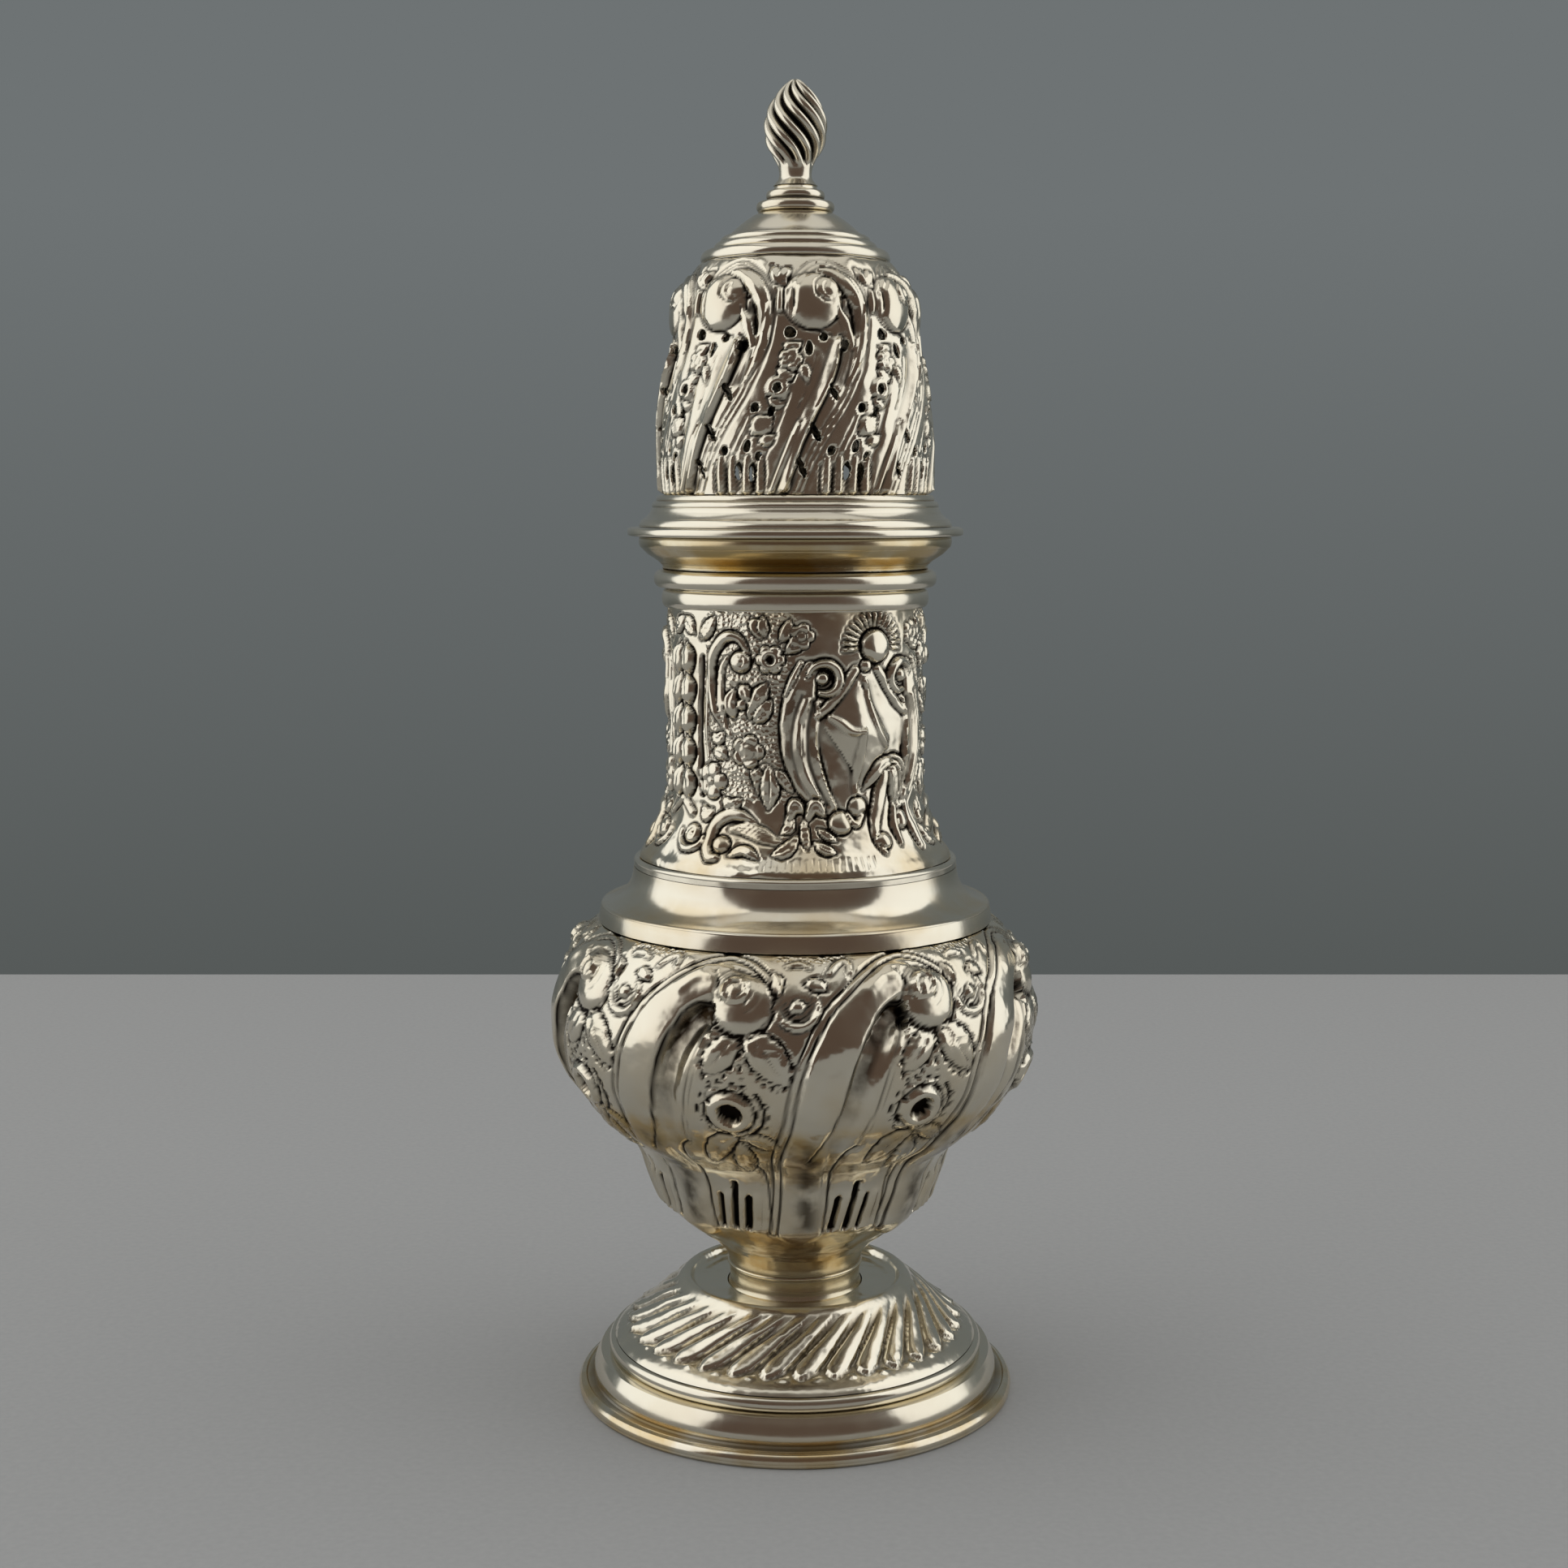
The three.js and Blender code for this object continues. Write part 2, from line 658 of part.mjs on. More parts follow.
function finial() {
  const budLevel = finialLevel + 2.7;
  const tip = finialLevel + finialHeight;
  const bud = new THREE.SplineCurve([
    at(finialNeckRadius, budLevel),
    at(budRadius - 0.4, budLevel + 3),
    at(budRadius, budLevel + 6),
    at(budRadius - 1.4, tip - 3.3),
    at(0.9, tip - 0.6),
  ]).getPoints(7);
  const shape = turned([
    at(0, finialLevel),
    at(finialNeckRadius + 0.5, finialLevel),
    at(finialNeckRadius, finialLevel + 0.9),
    ...bud,
    at(0, tip),
  ], budRidges * 3);
  const shareUp = (z) => THREE.MathUtils.clamp((z - budLevel) / (tip - budLevel), 0, 1);
  return chased(shape, (angle, z) => {
    const ridge = Math.abs(Math.sin((Math.PI * angle * budRidges) / 360));
    return budRidgeDepth * smooth(shareUp(z) / 0.15) * smooth((1 - shareUp(z)) / 0.2) * (ridge - 0.8);
  }, (z) => budTwist * shareUp(z));
}

// Assembly

function piece(name, geometry, finish) {
  const mesh = new THREE.Mesh(geometry, new THREE.MeshStandardMaterial(finish));
  mesh.name = name;
  return mesh;
}

const body = new THREE.Group();
body.add(
  piece("foot_rim", footRim(), silver),
  piece("foot_bead", wire(footBore + footTubeWall, footBeadRadius, footBeadLevel, footDomeLevel), silver),
  piece("foot_dome", footDome(), silver),
  piece("stem", stem(), gilded),
  piece("bowl", bowl(), silver),
  piece("shoulder", shoulder(), silver),
  piece("neck_base_wire", wire(neckBaseRadius, neckBaseWireRadius, neckWireLevel, neckLevel), silver),
  piece("neck", neck(), silver),
  piece("neck_wire_lower", wire(neckTopRadius, lowerWireRadius, lowerWireLevel, upperWireLevel), silver),
  piece("neck_wire_upper", wire(neckTopRadius, upperWireRadius, upperWireLevel, lipLevel), silver),
  piece("neck_lip", neckLip(), gilded),
);

const cover = new THREE.Group();
cover.add(
  piece("cover_bezel", coverBezel(), silver),
  piece("cover_flange", coverFlange(), silver),
  piece("cover_rim_moulding", coverRimMoulding(), silver),
  piece("cover_dome", coverDome(), silver),
  piece("crown_wire", wire(crownRadius, crownWireRadius, crownLevel, reedLevel), silver),
  piece("cover_crown", coverCrown(), silver),
  piece("finial_button", finialButton(), silver),
  piece("finial", finial(), silver),
);

const caster = new THREE.Group();
caster.add(body, cover);

export default caster;
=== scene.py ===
# %% [markdown]
# # A chased silver sugar caster
# The CAD model fixes where each piece of the caster is and how the cover lifts. This lesson dresses
# it: plain mouldings are turned at a finer step, and the raised pieces are made again as sheet
# silver with their chasing. A caster is round, so almost everything here is a section in radius and
# height that is swept round the axis, in millimetres, and made into metres at the very end.

import math

import bmesh
import bpy
import numpy as np
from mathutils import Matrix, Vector


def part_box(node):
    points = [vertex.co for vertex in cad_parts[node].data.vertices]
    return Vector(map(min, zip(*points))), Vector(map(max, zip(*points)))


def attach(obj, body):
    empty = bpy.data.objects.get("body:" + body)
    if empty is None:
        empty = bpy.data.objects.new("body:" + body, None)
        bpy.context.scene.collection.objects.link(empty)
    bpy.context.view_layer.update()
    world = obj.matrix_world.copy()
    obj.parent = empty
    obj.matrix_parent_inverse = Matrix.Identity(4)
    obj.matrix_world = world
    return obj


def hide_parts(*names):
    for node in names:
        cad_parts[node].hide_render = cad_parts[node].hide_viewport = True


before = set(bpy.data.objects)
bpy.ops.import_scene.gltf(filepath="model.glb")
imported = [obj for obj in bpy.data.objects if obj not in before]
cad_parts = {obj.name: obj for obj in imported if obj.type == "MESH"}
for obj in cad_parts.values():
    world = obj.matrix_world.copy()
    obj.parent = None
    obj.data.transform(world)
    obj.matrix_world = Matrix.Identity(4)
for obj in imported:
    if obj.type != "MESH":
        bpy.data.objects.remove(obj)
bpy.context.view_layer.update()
MM = 0.001                      # one millimetre in Blender's metres

# %% [markdown]
# ## Camera
# The photograph was taken from a little above the neck, close to the caster, so the rings near the
# top look almost flat and the foot opens into a wide ellipse. The place and tilt come from fitting
# those ellipses, with a 52 mm lens on a square 36 mm frame.

# %% Camera
CAMERA_PLACE = (-0.0017, -0.3444, 0.1393)       # metres
LOOKING_DOWN = 7.3              # degrees
camera = bpy.data.objects.new("camera", bpy.data.cameras.new("camera"))
bpy.context.scene.collection.objects.link(camera)
camera.data.sensor_width = 36
camera.data.lens = 52
camera.data.clip_start = 0.01
camera.location = CAMERA_PLACE
camera.rotation_euler = (math.radians(90 - LOOKING_DOWN), 0, 0)
bpy.context.scene.camera = camera
bpy.context.scene.view_settings.view_transform = "Standard"
print("camera at", [round(c, 4) for c in camera.location])

# %% [markdown]
# ## Colours and nodes
# Colours are written as sRGB hex, the way a colour picker shows them, and one function turns them
# into the linear values that the shaders use. One more function adds any node with its settings.
# Patterns are given by their real size, which a third function turns into a texture's scale.


# %% Colour and node helpers
def to_linear(hex_colour):
    """A linear RGBA colour from an sRGB hex string."""
    parts = [int(hex_colour[i:i + 2], 16) / 255 for i in (1, 3, 5)]
    return [p / 12.92 if p <= 0.04045 else ((p + 0.055) / 1.055) ** 2.4 for p in parts] + [1.0]


def scale_of(size):
    """The texture scale that makes a pattern of this size in mm."""
    return 1 / (size * MM)


def add_node(tree, kind, inputs=None, **settings):
    """Adds a shader node. An input given a node or a socket is linked, any other value is set."""
    made = tree.nodes.new("ShaderNode" + kind)
    for name, value in settings.items():
        setattr(made, name, value)
    for socket, value in (inputs or {}).items():
        if isinstance(value, bpy.types.Node):
            value = next(output for output in value.outputs if output.enabled)
        if isinstance(value, bpy.types.NodeSocket):
            tree.links.new(value, made.inputs[socket])
        else:
            made.inputs[socket].default_value = value
    return made


def new_material(name):
    """An empty node material and its tree."""
    material = bpy.data.materials.new(name)
    material.use_nodes = True
    material.node_tree.nodes.clear()
    return material, material.node_tree


print("mid grey #808080 is", round(to_linear("#808080")[0], 3), "in linear light")

# %% [markdown]
# ## Table and surroundings
# The caster stands on a plain grey table, whose far edge is the horizon of the photograph. Beyond
# it is a plain wall, which is the world's colour here. Polished silver is a mirror, so what is
# behind the camera matters as much: the room there is darker, and that darkness runs down the
# middle of every round form. The table is matt painted board, whose fine grain keeps it from
# mirroring the caster.

# %% Table
TABLE_EDGE = 0.305              # metres behind the caster's axis
TABLE_FRONT = 0.7               # metres in front of it
TABLE_SIDE = 0.42               # metres to the left and right of it
PAINT_GRAIN = 1.111             # mm, the size of a grain in the paint


def make_table():
    """A flat rectangle at z = 0, under the foot."""
    mesh = bpy.data.meshes.new("table_top")
    corners = [(-TABLE_SIDE, -TABLE_FRONT, 0), (TABLE_SIDE, -TABLE_FRONT, 0),
               (TABLE_SIDE, TABLE_EDGE, 0), (-TABLE_SIDE, TABLE_EDGE, 0)]
    mesh.from_pydata(corners, [], [(0, 1, 2, 3)])
    table = bpy.data.objects.new("table_top", mesh)
    bpy.context.scene.collection.objects.link(table)
    material, tree = new_material("matt_painted_board")
    place = add_node(tree, "TexCoord").outputs["Object"]
    grain = add_node(tree, "TexNoise", {"Vector": place, "Scale": scale_of(PAINT_GRAIN)})
    tint = add_node(tree, "Mix", {"Factor": grain, "A": to_linear("#8B8C8B"),
                                  "B": to_linear("#969695")}, data_type="RGBA")
    shader = add_node(tree, "BsdfPrincipled", {"Base Color": tint, "Roughness": 0.85})
    add_node(tree, "OutputMaterial", {"Surface": shader})
    mesh.materials.append(material)
    print("table of", 2 * TABLE_SIDE, "by", TABLE_EDGE + TABLE_FRONT, "m")


make_table()


# %% World
def make_world():
    """The camera sees the wall, mirrors see the whole room, and the rest is an even grey light."""
    world = bpy.data.worlds.new("studio")
    world.use_nodes = True
    tree = world.node_tree
    tree.nodes.clear()
    way = add_node(tree, "TexCoord").outputs["Generated"]
    towards = add_node(tree, "SeparateXYZ", {"Vector": way}).outputs
    # Painted shade: the wall is painted a little darker near the table and lighter towards its top.
    height = add_node(tree, "MapRange", {"Value": towards["Z"], "From Min": -0.21,
                                         "From Max": 0.12})
    wall = add_node(tree, "Mix", {"Factor": height, "A": to_linear("#555958"),
                                  "B": to_linear("#6E7374")}, data_type="RGBA")
    # What lies behind the camera is darker and warmer, and the ceiling is lighter again.
    to_back = add_node(tree, "MapRange", {"Value": towards["Y"], "From Min": -0.75,
                                          "From Max": 0.0})
    room = add_node(tree, "Mix", {"Factor": to_back, "A": to_linear("#574941"), "B": wall},
                    data_type="RGBA")
    upward = add_node(tree, "MapRange", {"Value": towards["Z"], "From Min": 0.55,
                                         "From Max": 0.9})
    seen = add_node(tree, "Mix", {"Factor": upward, "A": room, "B": to_linear("#807E79")},
                    data_type="RGBA")
    # Mirrors see that room, matt things are lit by an even grey, and the camera sees the wall.
    ray = add_node(tree, "LightPath").outputs
    mirrored = add_node(tree, "Math", {0: ray["Is Glossy Ray"], 1: ray["Is Transmission Ray"]},
                        operation="MAXIMUM")
    lit = add_node(tree, "Mix", {"Factor": mirrored, "A": to_linear("#C9C9C9"), "B": seen},
                   data_type="RGBA")
    colour = add_node(tree, "Mix", {"Factor": ray["Is Camera Ray"], "A": lit, "B": wall},
                      data_type="RGBA")
    light = add_node(tree, "Background", {"Color": colour})
    add_node(tree, "OutputWorld", {"Surface": light})
    bpy.context.scene.world = world
    print("world:", len(tree.nodes), "nodes")


make_world()

# %% [markdown]
# ## Lamps
# Two tall soft boxes stand left and right of the caster, a little in front of it, and a third hangs
# over it. Each shows in the silver as a long bright strip. Their strength is set as a brightness:
# 1 is the white of the picture, and the power in watts follows from that and the area.


# %% Soft boxes
def soft_box(name, azimuth, distance, height, width, tall, brightness):
    """An area lamp aimed at the caster. Azimuth 0 is the camera's side, + is its right."""
    lamp = bpy.data.lights.new(name, "AREA")
    lamp.shape = "RECTANGLE"
    lamp.size = width
    lamp.size_y = tall
    lamp.energy = brightness * math.pi * width * tall
    holder = bpy.data.objects.new(name, lamp)
    bpy.context.scene.collection.objects.link(holder)
    turn = math.radians(azimuth)
    holder.location = (distance * math.sin(turn), -distance * math.cos(turn), height)
    aim = Vector((0, 0, 0.1)) - holder.location
    holder.rotation_euler = aim.to_track_quat("-Z", "Y").to_euler()
    holder.visible_camera = False
    print(f"{name}: {lamp.energy:.1f} W")


# Each has its azimuth, distance, height, width, length and brightness, in degrees and metres.
soft_box("soft_box_left", -84, 0.8, 0.42, 1.15, 1.4, 1.0)
soft_box("soft_box_right", 86, 0.8, 0.42, 0.85, 1.4, 1.0)
soft_box("soft_box_over", 0, 0.02, 1.1, 0.9, 1.3, 0.48)

# %% [markdown]
# ## Silver
# Sterling silver that has been raised, chased and polished by hand, and then used. It is a bright,
# slightly warm mirror whose reflections wobble a little, because a hammered sheet is never quite
# true. Polish doesn't reach into the chasing, so a brown-black tarnish stays in the hollows, and
# where a cloth seldom goes the metal tones to gold. Each mesh carries four painted values for the
# shader: recess (how deep a point lies among the chasing), toned (how golden), the brown of old
# stains and of painted shade in the bowl's channels and a hollow of the dome, and matted (where the
# ground was punched with small dots).

# %% Silver materials
PAINTED = ("recess", "toned", "stained", "matted")
BREATH_PATCH = 8.333            # mm, for tone and polish
BROWN_BLOTCH = 3.03             # mm
HAMMER_FACET = 3.571            # mm, as a planishing hammer leaves them
MATTING_DOT = 0.625             # mm between two dots of the punch


def make_silver(name, clean, golden, wobble):
    """Silver with tarnish in the hollows. Clean and golden are its tones, wobble its hammering."""
    material, tree = new_material(name)
    place = add_node(tree, "TexCoord").outputs["Object"]
    recess, toned, stained, matted = (
        add_node(tree, "Attribute", attribute_name=label).outputs["Fac"] for label in PAINTED)

    # Breath-like patches break up the gold tone and the polish.
    patchy = add_node(tree, "TexNoise", {"Vector": place, "Scale": scale_of(BREATH_PATCH),
                                         "Detail": 4})
    broken = add_node(tree, "MapRange", {"Value": patchy, "From Min": 0.38, "From Max": 0.6})
    warm = add_node(tree, "Math", {0: toned, 1: broken}, operation="MULTIPLY", use_clamp=True)
    metal = add_node(tree, "Mix", {"Factor": warm, "A": to_linear(clean),
                                   "B": to_linear(golden)}, data_type="RGBA")
    haze = add_node(tree, "MapRange", {"Value": patchy, "From Min": 0.35, "From Max": 0.7,
                                       "To Min": 0.14, "To Max": 0.26})
    # Brown lies in smaller blotches: old stains, and painted shade in the bowl's channels and in a
    # hollow of the dome. Tarnish lies over everything in the hollows.
    blotches = add_node(tree, "TexNoise", {"Vector": place, "Scale": scale_of(BROWN_BLOTCH),
                                           "Detail": 3})
    spread = add_node(tree, "MapRange", {"Value": blotches, "From Min": 0.3, "From Max": 0.6})
    browned = add_node(tree, "Math", {0: stained, 1: spread}, operation="MULTIPLY")
    stain = add_node(tree, "Mix", {"Factor": browned, "A": metal, "B": to_linear("#3E3222")},
                     data_type="RGBA")
    dirt = add_node(tree, "MapRange", {"Value": recess, "From Min": 0.12, "From Max": 0.85})
    colour = add_node(tree, "Mix", {"Factor": dirt, "A": stain, "B": to_linear("#1D1712")},
                      data_type="RGBA")
    rough = add_node(tree, "Mix", {"Factor": dirt, "A": haze, "B": 0.55})
    # A planished sheet keeps shallow facets, and the matting punch leaves dots on its ground.
    facets = add_node(tree, "TexNoise", {"Vector": place, "Scale": scale_of(HAMMER_FACET),
                                         "Detail": 2, "Roughness": 0.4})
    hammered = add_node(tree, "Bump", {"Height": facets, "Strength": wobble,
                                       "Distance": 0.3 * MM})
    dots = add_node(tree, "TexVoronoi", {"Vector": place, "Scale": scale_of(MATTING_DOT)})
    punched = add_node(tree, "Bump", {"Height": dots, "Strength": matted,
                                      "Distance": 0.25 * MM, "Normal": hammered})
    shader = add_node(tree, "BsdfPrincipled", {"Base Color": colour, "Metallic": 1.0,
                                               "Roughness": rough, "Normal": punched})
    add_node(tree, "OutputMaterial", {"Surface": shader})
    print(f"{name}: {len(tree.nodes)} nodes")
    return material


polished_silver = make_silver("polished_silver", "#E2DBC9", "#CFB174", 0.15)
chased_silver = make_silver("chased_silver", "#E2DBC9", "#CFB174", 0.9)
toned_silver = make_silver("toned_silver", "#DAD0B6", "#B99A55", 0.15)

# %% [markdown]
# ## Sections
# A silversmith cuts a template of half the outline and works to it. The same template is used here:
# a list of (radius, height) points that goes up the outside and down the inside. Smooth stretches
# are drawn through a few measured points, and beads and hollows are arcs.

# %% Section helpers
LEVEL = {name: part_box(name)[0].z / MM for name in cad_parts}
TOP = {name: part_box(name)[1].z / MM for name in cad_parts}
print("levels in mm:", {name: round(LEVEL[name], 1) for name in sorted(LEVEL, key=LEVEL.get)})


def run_along(points):
    """How far along its own line each point lies."""
    return np.concatenate([[0.0], np.cumsum(np.hypot(*np.diff(points, axis=0).T))])


def flowing(points, count=48):
    """Points along a smooth curve through the given ones."""
    given = np.array(points, float)
    knots = run_along(given)
    slope = np.gradient(given, knots, axis=0)
    at = np.linspace(0, knots[-1], count)
    i = np.clip(np.searchsorted(knots, at) - 1, 0, len(given) - 2)
    span = (knots[i + 1] - knots[i])[:, None]
    u = (at - knots[i])[:, None] / span
    start = (2 * u**3 - 3 * u**2 + 1) * given[i] + (u**3 - 2 * u**2 + u) * span * slope[i]
    end = (3 * u**2 - 2 * u**3) * given[i + 1] + (u**3 - u**2) * span * slope[i + 1]
    return start + end


def even(section, count):
    """The same section with equal steps along it."""
    knots = run_along(section)
    at = np.linspace(0, knots[-1], count)
    return np.stack([np.interp(at, knots, section[:, i]) for i in (0, 1)], axis=1)


def arc(start, end, swell, count=9):
    """An arc between two section points. Swell is its rise as a share of half the chord."""
    start = np.array(start, float)
    end = np.array(end, float)
    chord = end - start
    outward = np.array([chord[1], -chord[0]]) / 2
    turn = np.linspace(0, math.pi, count)
    along = (1 - np.cos(turn))[:, None] / 2
    return start + chord * along + outward * swell * np.sin(turn)[:, None]


def outline(*parts):
    """Joins points and runs of points into one section."""
    return np.vstack([np.atleast_2d(np.array(part, float)) for part in parts])


# %% [markdown]
# ## From a section to a mesh
# Every piece is a closed skin: rows of points that follow the section, each carried round the axis
# in equal columns. Angle 0 is the front, and angles grow to the right. Edges sharper than a set
# angle stay crisp, and everything else is shaded smooth, as polished metal is.


# %% Skin and piece helpers
def skin(rows, closed=True):
    """Faces for a grid of points that goes right round, and closes along the rows if asked."""
    height, width = rows.shape[:2]
    ids = np.arange(height * width).reshape(height, width)
    right = np.roll(ids, -1, axis=1)
    last = height if closed else height - 1
    above = np.roll(ids, -1, axis=0)[:last]
    above_right = np.roll(right, -1, axis=0)[:last]
    return np.stack([ids[:last], right[:last], above_right, above], axis=-1).reshape(-1, 4)


def make_piece(name, points, faces, body, material, node, crisp, painted):
    """A mesh object from points in mm. It rides on a body and stands for its CAD node."""
    mesh = bpy.data.meshes.new(name)
    mesh.from_pydata((points.reshape(-1, 3) * MM).tolist(), [], faces.tolist())
    for label in PAINTED:
        values = painted.get(label, np.zeros(points.size // 3))
        layer = mesh.attributes.new(label, "FLOAT", "POINT")
        layer.data.foreach_set("value", np.ascontiguousarray(values, dtype=np.float32).ravel())
    work = bmesh.new()
    work.from_mesh(mesh)
    bmesh.ops.remove_doubles(work, verts=work.verts, dist=1e-7)
    work.to_mesh(mesh)
    work.free()
    mesh.shade_smooth()
    mesh.set_sharp_from_angle(angle=math.radians(crisp))
    mesh.materials.append(material)
    piece = bpy.data.objects.new(name, mesh)
    bpy.context.scene.collection.objects.link(piece)
    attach(piece, body)
    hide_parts(node)
    print(f"{name}: {len(mesh.vertices)} points, {len(mesh.polygons)} faces")
    return piece


# %% Turning helpers
TURNED_CRISP = 35               # degrees: a sharper edge stays crisp on a turned piece
TURNED_TARNISH = 0.6            # a cloth gets into turned hollows better than into chasing
HOLLOW_DEPTH = 0.35             # mm: a hollow this deep is fully tarnished


def around(columns):
    """The angles of so many equal columns."""
    return np.arange(columns) * 360 / columns


def swept(section, columns):
    """A grid of points: the section carried round the axis."""
    turn = np.radians(around(columns))
    r = section[:, :1]
    z = np.repeat(section[:, 1:], columns, axis=1)
    return np.stack([r * np.sin(turn), -r * np.cos(turn), z], axis=-1)


def hollows(section):
    """How deep each section point lies below its neighbours, from 0 to 1: where polish fails."""
    before = np.roll(section, 3, axis=0)
    after = np.roll(section, -3, axis=0)
    middle = (before + after) / 2 - section
    along = after - before
    outward = np.stack([along[:, 1], -along[:, 0]], axis=1)
    outward /= np.linalg.norm(outward, axis=1, keepdims=True) + 1e-9
    return np.clip((middle * outward).sum(1) / HOLLOW_DEPTH, 0, 1)


def tone_at(height, golden):
    """The gold tone at each height, from (height, tone) pairs."""
    return np.interp(height, *zip(*golden))


def turn_piece(name, node, section, body="body", slot="silver", columns=192, golden=((0, 0),)):
    """A plain turned piece. Golden gives its gold tone as (height, tone) pairs."""
    points = swept(section, columns)
    deep = np.repeat(hollows(section)[:, None], columns, axis=1) * TURNED_TARNISH
    material = toned_silver if slot == "toned_silver" else polished_silver
    make_piece(name, points, skin(points), body, material, node, TURNED_CRISP,
               {"recess": deep, "toned": tone_at(points[:, :, 2], golden)})


# %% [markdown]
# ## Foot mouldings
# The foot stands on a flat base wire. Above it an ovolo band curves in to a half round bead. They
# are plain turned work, so each is one section.

# %% Foot rim and bead
turn_piece("turned_foot_rim", "foot_rim", outline(
    arc((33.4, 0), (33.9, 0.6), 0.5, 5), arc((33.9, 0.7), (33.3, 2.1), 0.45),
    arc((32.9, 2.35), (31.5, 2.5), -0.5, 5),
    flowing([(31.5, 2.5), (31.6, 3.6), (31.2, 5), (30.5, 6.3)], 12),
    (28, 6.4), (28, 8.5), (27.2, 8.5), (27, 6.2), (29.2, 5.3), (30.2, 3), (30.2, 0)),
    columns=256, golden=[(0, 0.7), (1.2, 0.5), (2.6, 0.9), (3.4, 0.1), (30, 0)])
turn_piece("turned_foot_bead", "foot_bead", outline(
    arc((28.5, 6.4), (28.4, 8.55), 0.72, 12), (28.1, 8.55), (28.1, 6.4)), columns=256)

# %% [markdown]
# ## Stem
# A short spool joins the dish of the foot to the bowl. It is waisted, with a fine bead line, and it
# flares to meet the bowl. Little polish gets in under the bowl, so the silver there has toned.

# %% Stem
turn_piece("turned_stem", "stem", outline(
    flowing([(10.6, 16.35), (10.2, 17.2), (10.2, 18.6), (10.2, 19.6)], 10),
    arc((10.2, 19.6), (10.3, 20.3), 0.8, 7),
    flowing([(10.3, 20.4), (10.5, 21.2), (11, 22.2), (11.6, 23.25)], 10),
    (9.2, 23.25), (8.6, 20), (9, 16.35)),
    slot="toned_silver", golden=[(16, 0), (20, 0.1), (21.2, 0.7), (23.3, 1)])

# %% [markdown]
# ## Shoulder and neck wires
# Above the bowl the shoulder starts with a plain upright band, then draws in as a cove that ends
# upright again under the neck. The soft boxes show best in these smooth walls, so the section is
# drawn finely.

# %% Shoulder, neck base wire, mouth wires and lip
turn_piece("turned_shoulder", "shoulder", outline(
    (29.9, 74.55), (30.2, 74.8), (30.15, 75.4), (30, 76.3), (29.85, 77),
    arc((29.8, 77.1), (29.3, 77.5), 0.5, 6),
    flowing([(29.1, 77.55), (28.4, 77.8), (27.5, 78.25), (26.6, 78.85), (25.85, 79.6),
             (25.35, 80.4), (25.05, 81.2), (24.85, 82.1), (24.75, 82.95)], 30),
    (22.9, 82.95), (23.6, 80.4), (26.2, 77.4), (28.4, 76.4), (28.9, 74.55)),
    columns=256, golden=[(74.5, 0.35), (76, 0.1), (78, 0.5), (79.5, 0.3), (81, 0), (83, 0.2)])
turn_piece("turned_neck_base_wire", "neck_base_wire", outline(
    (24.7, 83.02), (24.7, 83.7), arc((24.7, 83.8), (24.1, 84.38), 0.5, 7),
    (22.9, 84.38), (22.9, 83.02)), columns=256)
turn_piece("turned_lower_mouth_wire", "neck_wire_lower", outline(
    (19.75, 122.45), arc((19.8, 122.6), (19.8, 125), 0.36, 12), (19.65, 125.15),
    (19.55, 122.45)), columns=224)
turn_piece("turned_upper_mouth_wire", "neck_wire_upper", outline(
    (19.9, 125.25), arc((20.5, 125.4), (20.5, 127.95), 0.72, 14), (20, 128.15),
    (19.65, 128.15), (19.65, 125.25)), columns=224)
turn_piece("turned_neck_lip", "neck_lip", outline(
    (20.1, 128.25),
    flowing([(20, 128.5), (20.4, 129), (21.2, 129.6), (22.4, 130.4), (23.1, 131.1)], 14),
    arc((23.15, 131.2), (23.4, 132.9), 0.4, 8), (19.65, 132.95), (19.65, 128.25)),
    slot="toned_silver", columns=224, golden=[(128, 1), (130, 0.9), (133, 0.3)])

# %% [markdown]
# ## Cover mouldings
# The cover rests on the lip with a thin flat flange, and a plain sleeve under it slips into the
# neck. Above the flange come two stepped beads, then the dome, and over the dome a reeded cap that
# carries the finial. All of it rides on the cover.

# %% Cover rings, cap and button
turn_piece("turned_cover_sleeve", "cover_bezel", outline(
    (17.95, 119), (18, 119.4), (18, 132.9), (17.2, 132.9), (17.2, 119.2), (17.4, 119)), "cover")
turn_piece("turned_cover_flange", "cover_flange", outline(
    (24.9, 133.05), arc((25.2, 133.15), (25.1, 134.2), 0.35, 7), (24.7, 134.35),
    (17.4, 134.35), (17.4, 133.05)), "cover", columns=256)
turn_piece("turned_cover_rim", "cover_rim_moulding", outline(
    (23.6, 134.45), arc((23.55, 134.5), (22.9, 135.6), 0.3, 7),
    flowing([(22.75, 135.7), (22.3, 136.1), (21.9, 136.6), (21.65, 137.2)], 9),
    arc((21.55, 137.3), (21, 138.2), 0.55, 8), arc((20.9, 138.3), (20.5, 139.1), 0.5, 7),
    (19.55, 139.15), (19.55, 134.45)), "cover", columns=256)
turn_piece("turned_crown_wire", "crown_wire", outline(
    (13.9, 173.25), arc((13.9, 173.3), (13, 175), 0.62, 12), (12, 175.05), (12, 173.25)), "cover")
turn_piece("turned_cover_cap", "cover_crown", outline(
    (11.6, 173.3), (11.7, 175.1), arc((12.1, 175.15), (11.2, 176.2), 0.6, 8),
    arc((11.1, 176.25), (10.4, 177.1), 0.6, 7),
    flowing([(10.25, 177.15), (9.5, 177.7), (8.6, 178.5), (7.6, 179.3), (6.4, 180.1),
             (5.6, 180.55)], 14),
    (0, 180.55), (0, 179.6), (5.4, 179.5), (9.4, 176.4), (10.6, 174.6), (10.7, 173.3)), "cover")
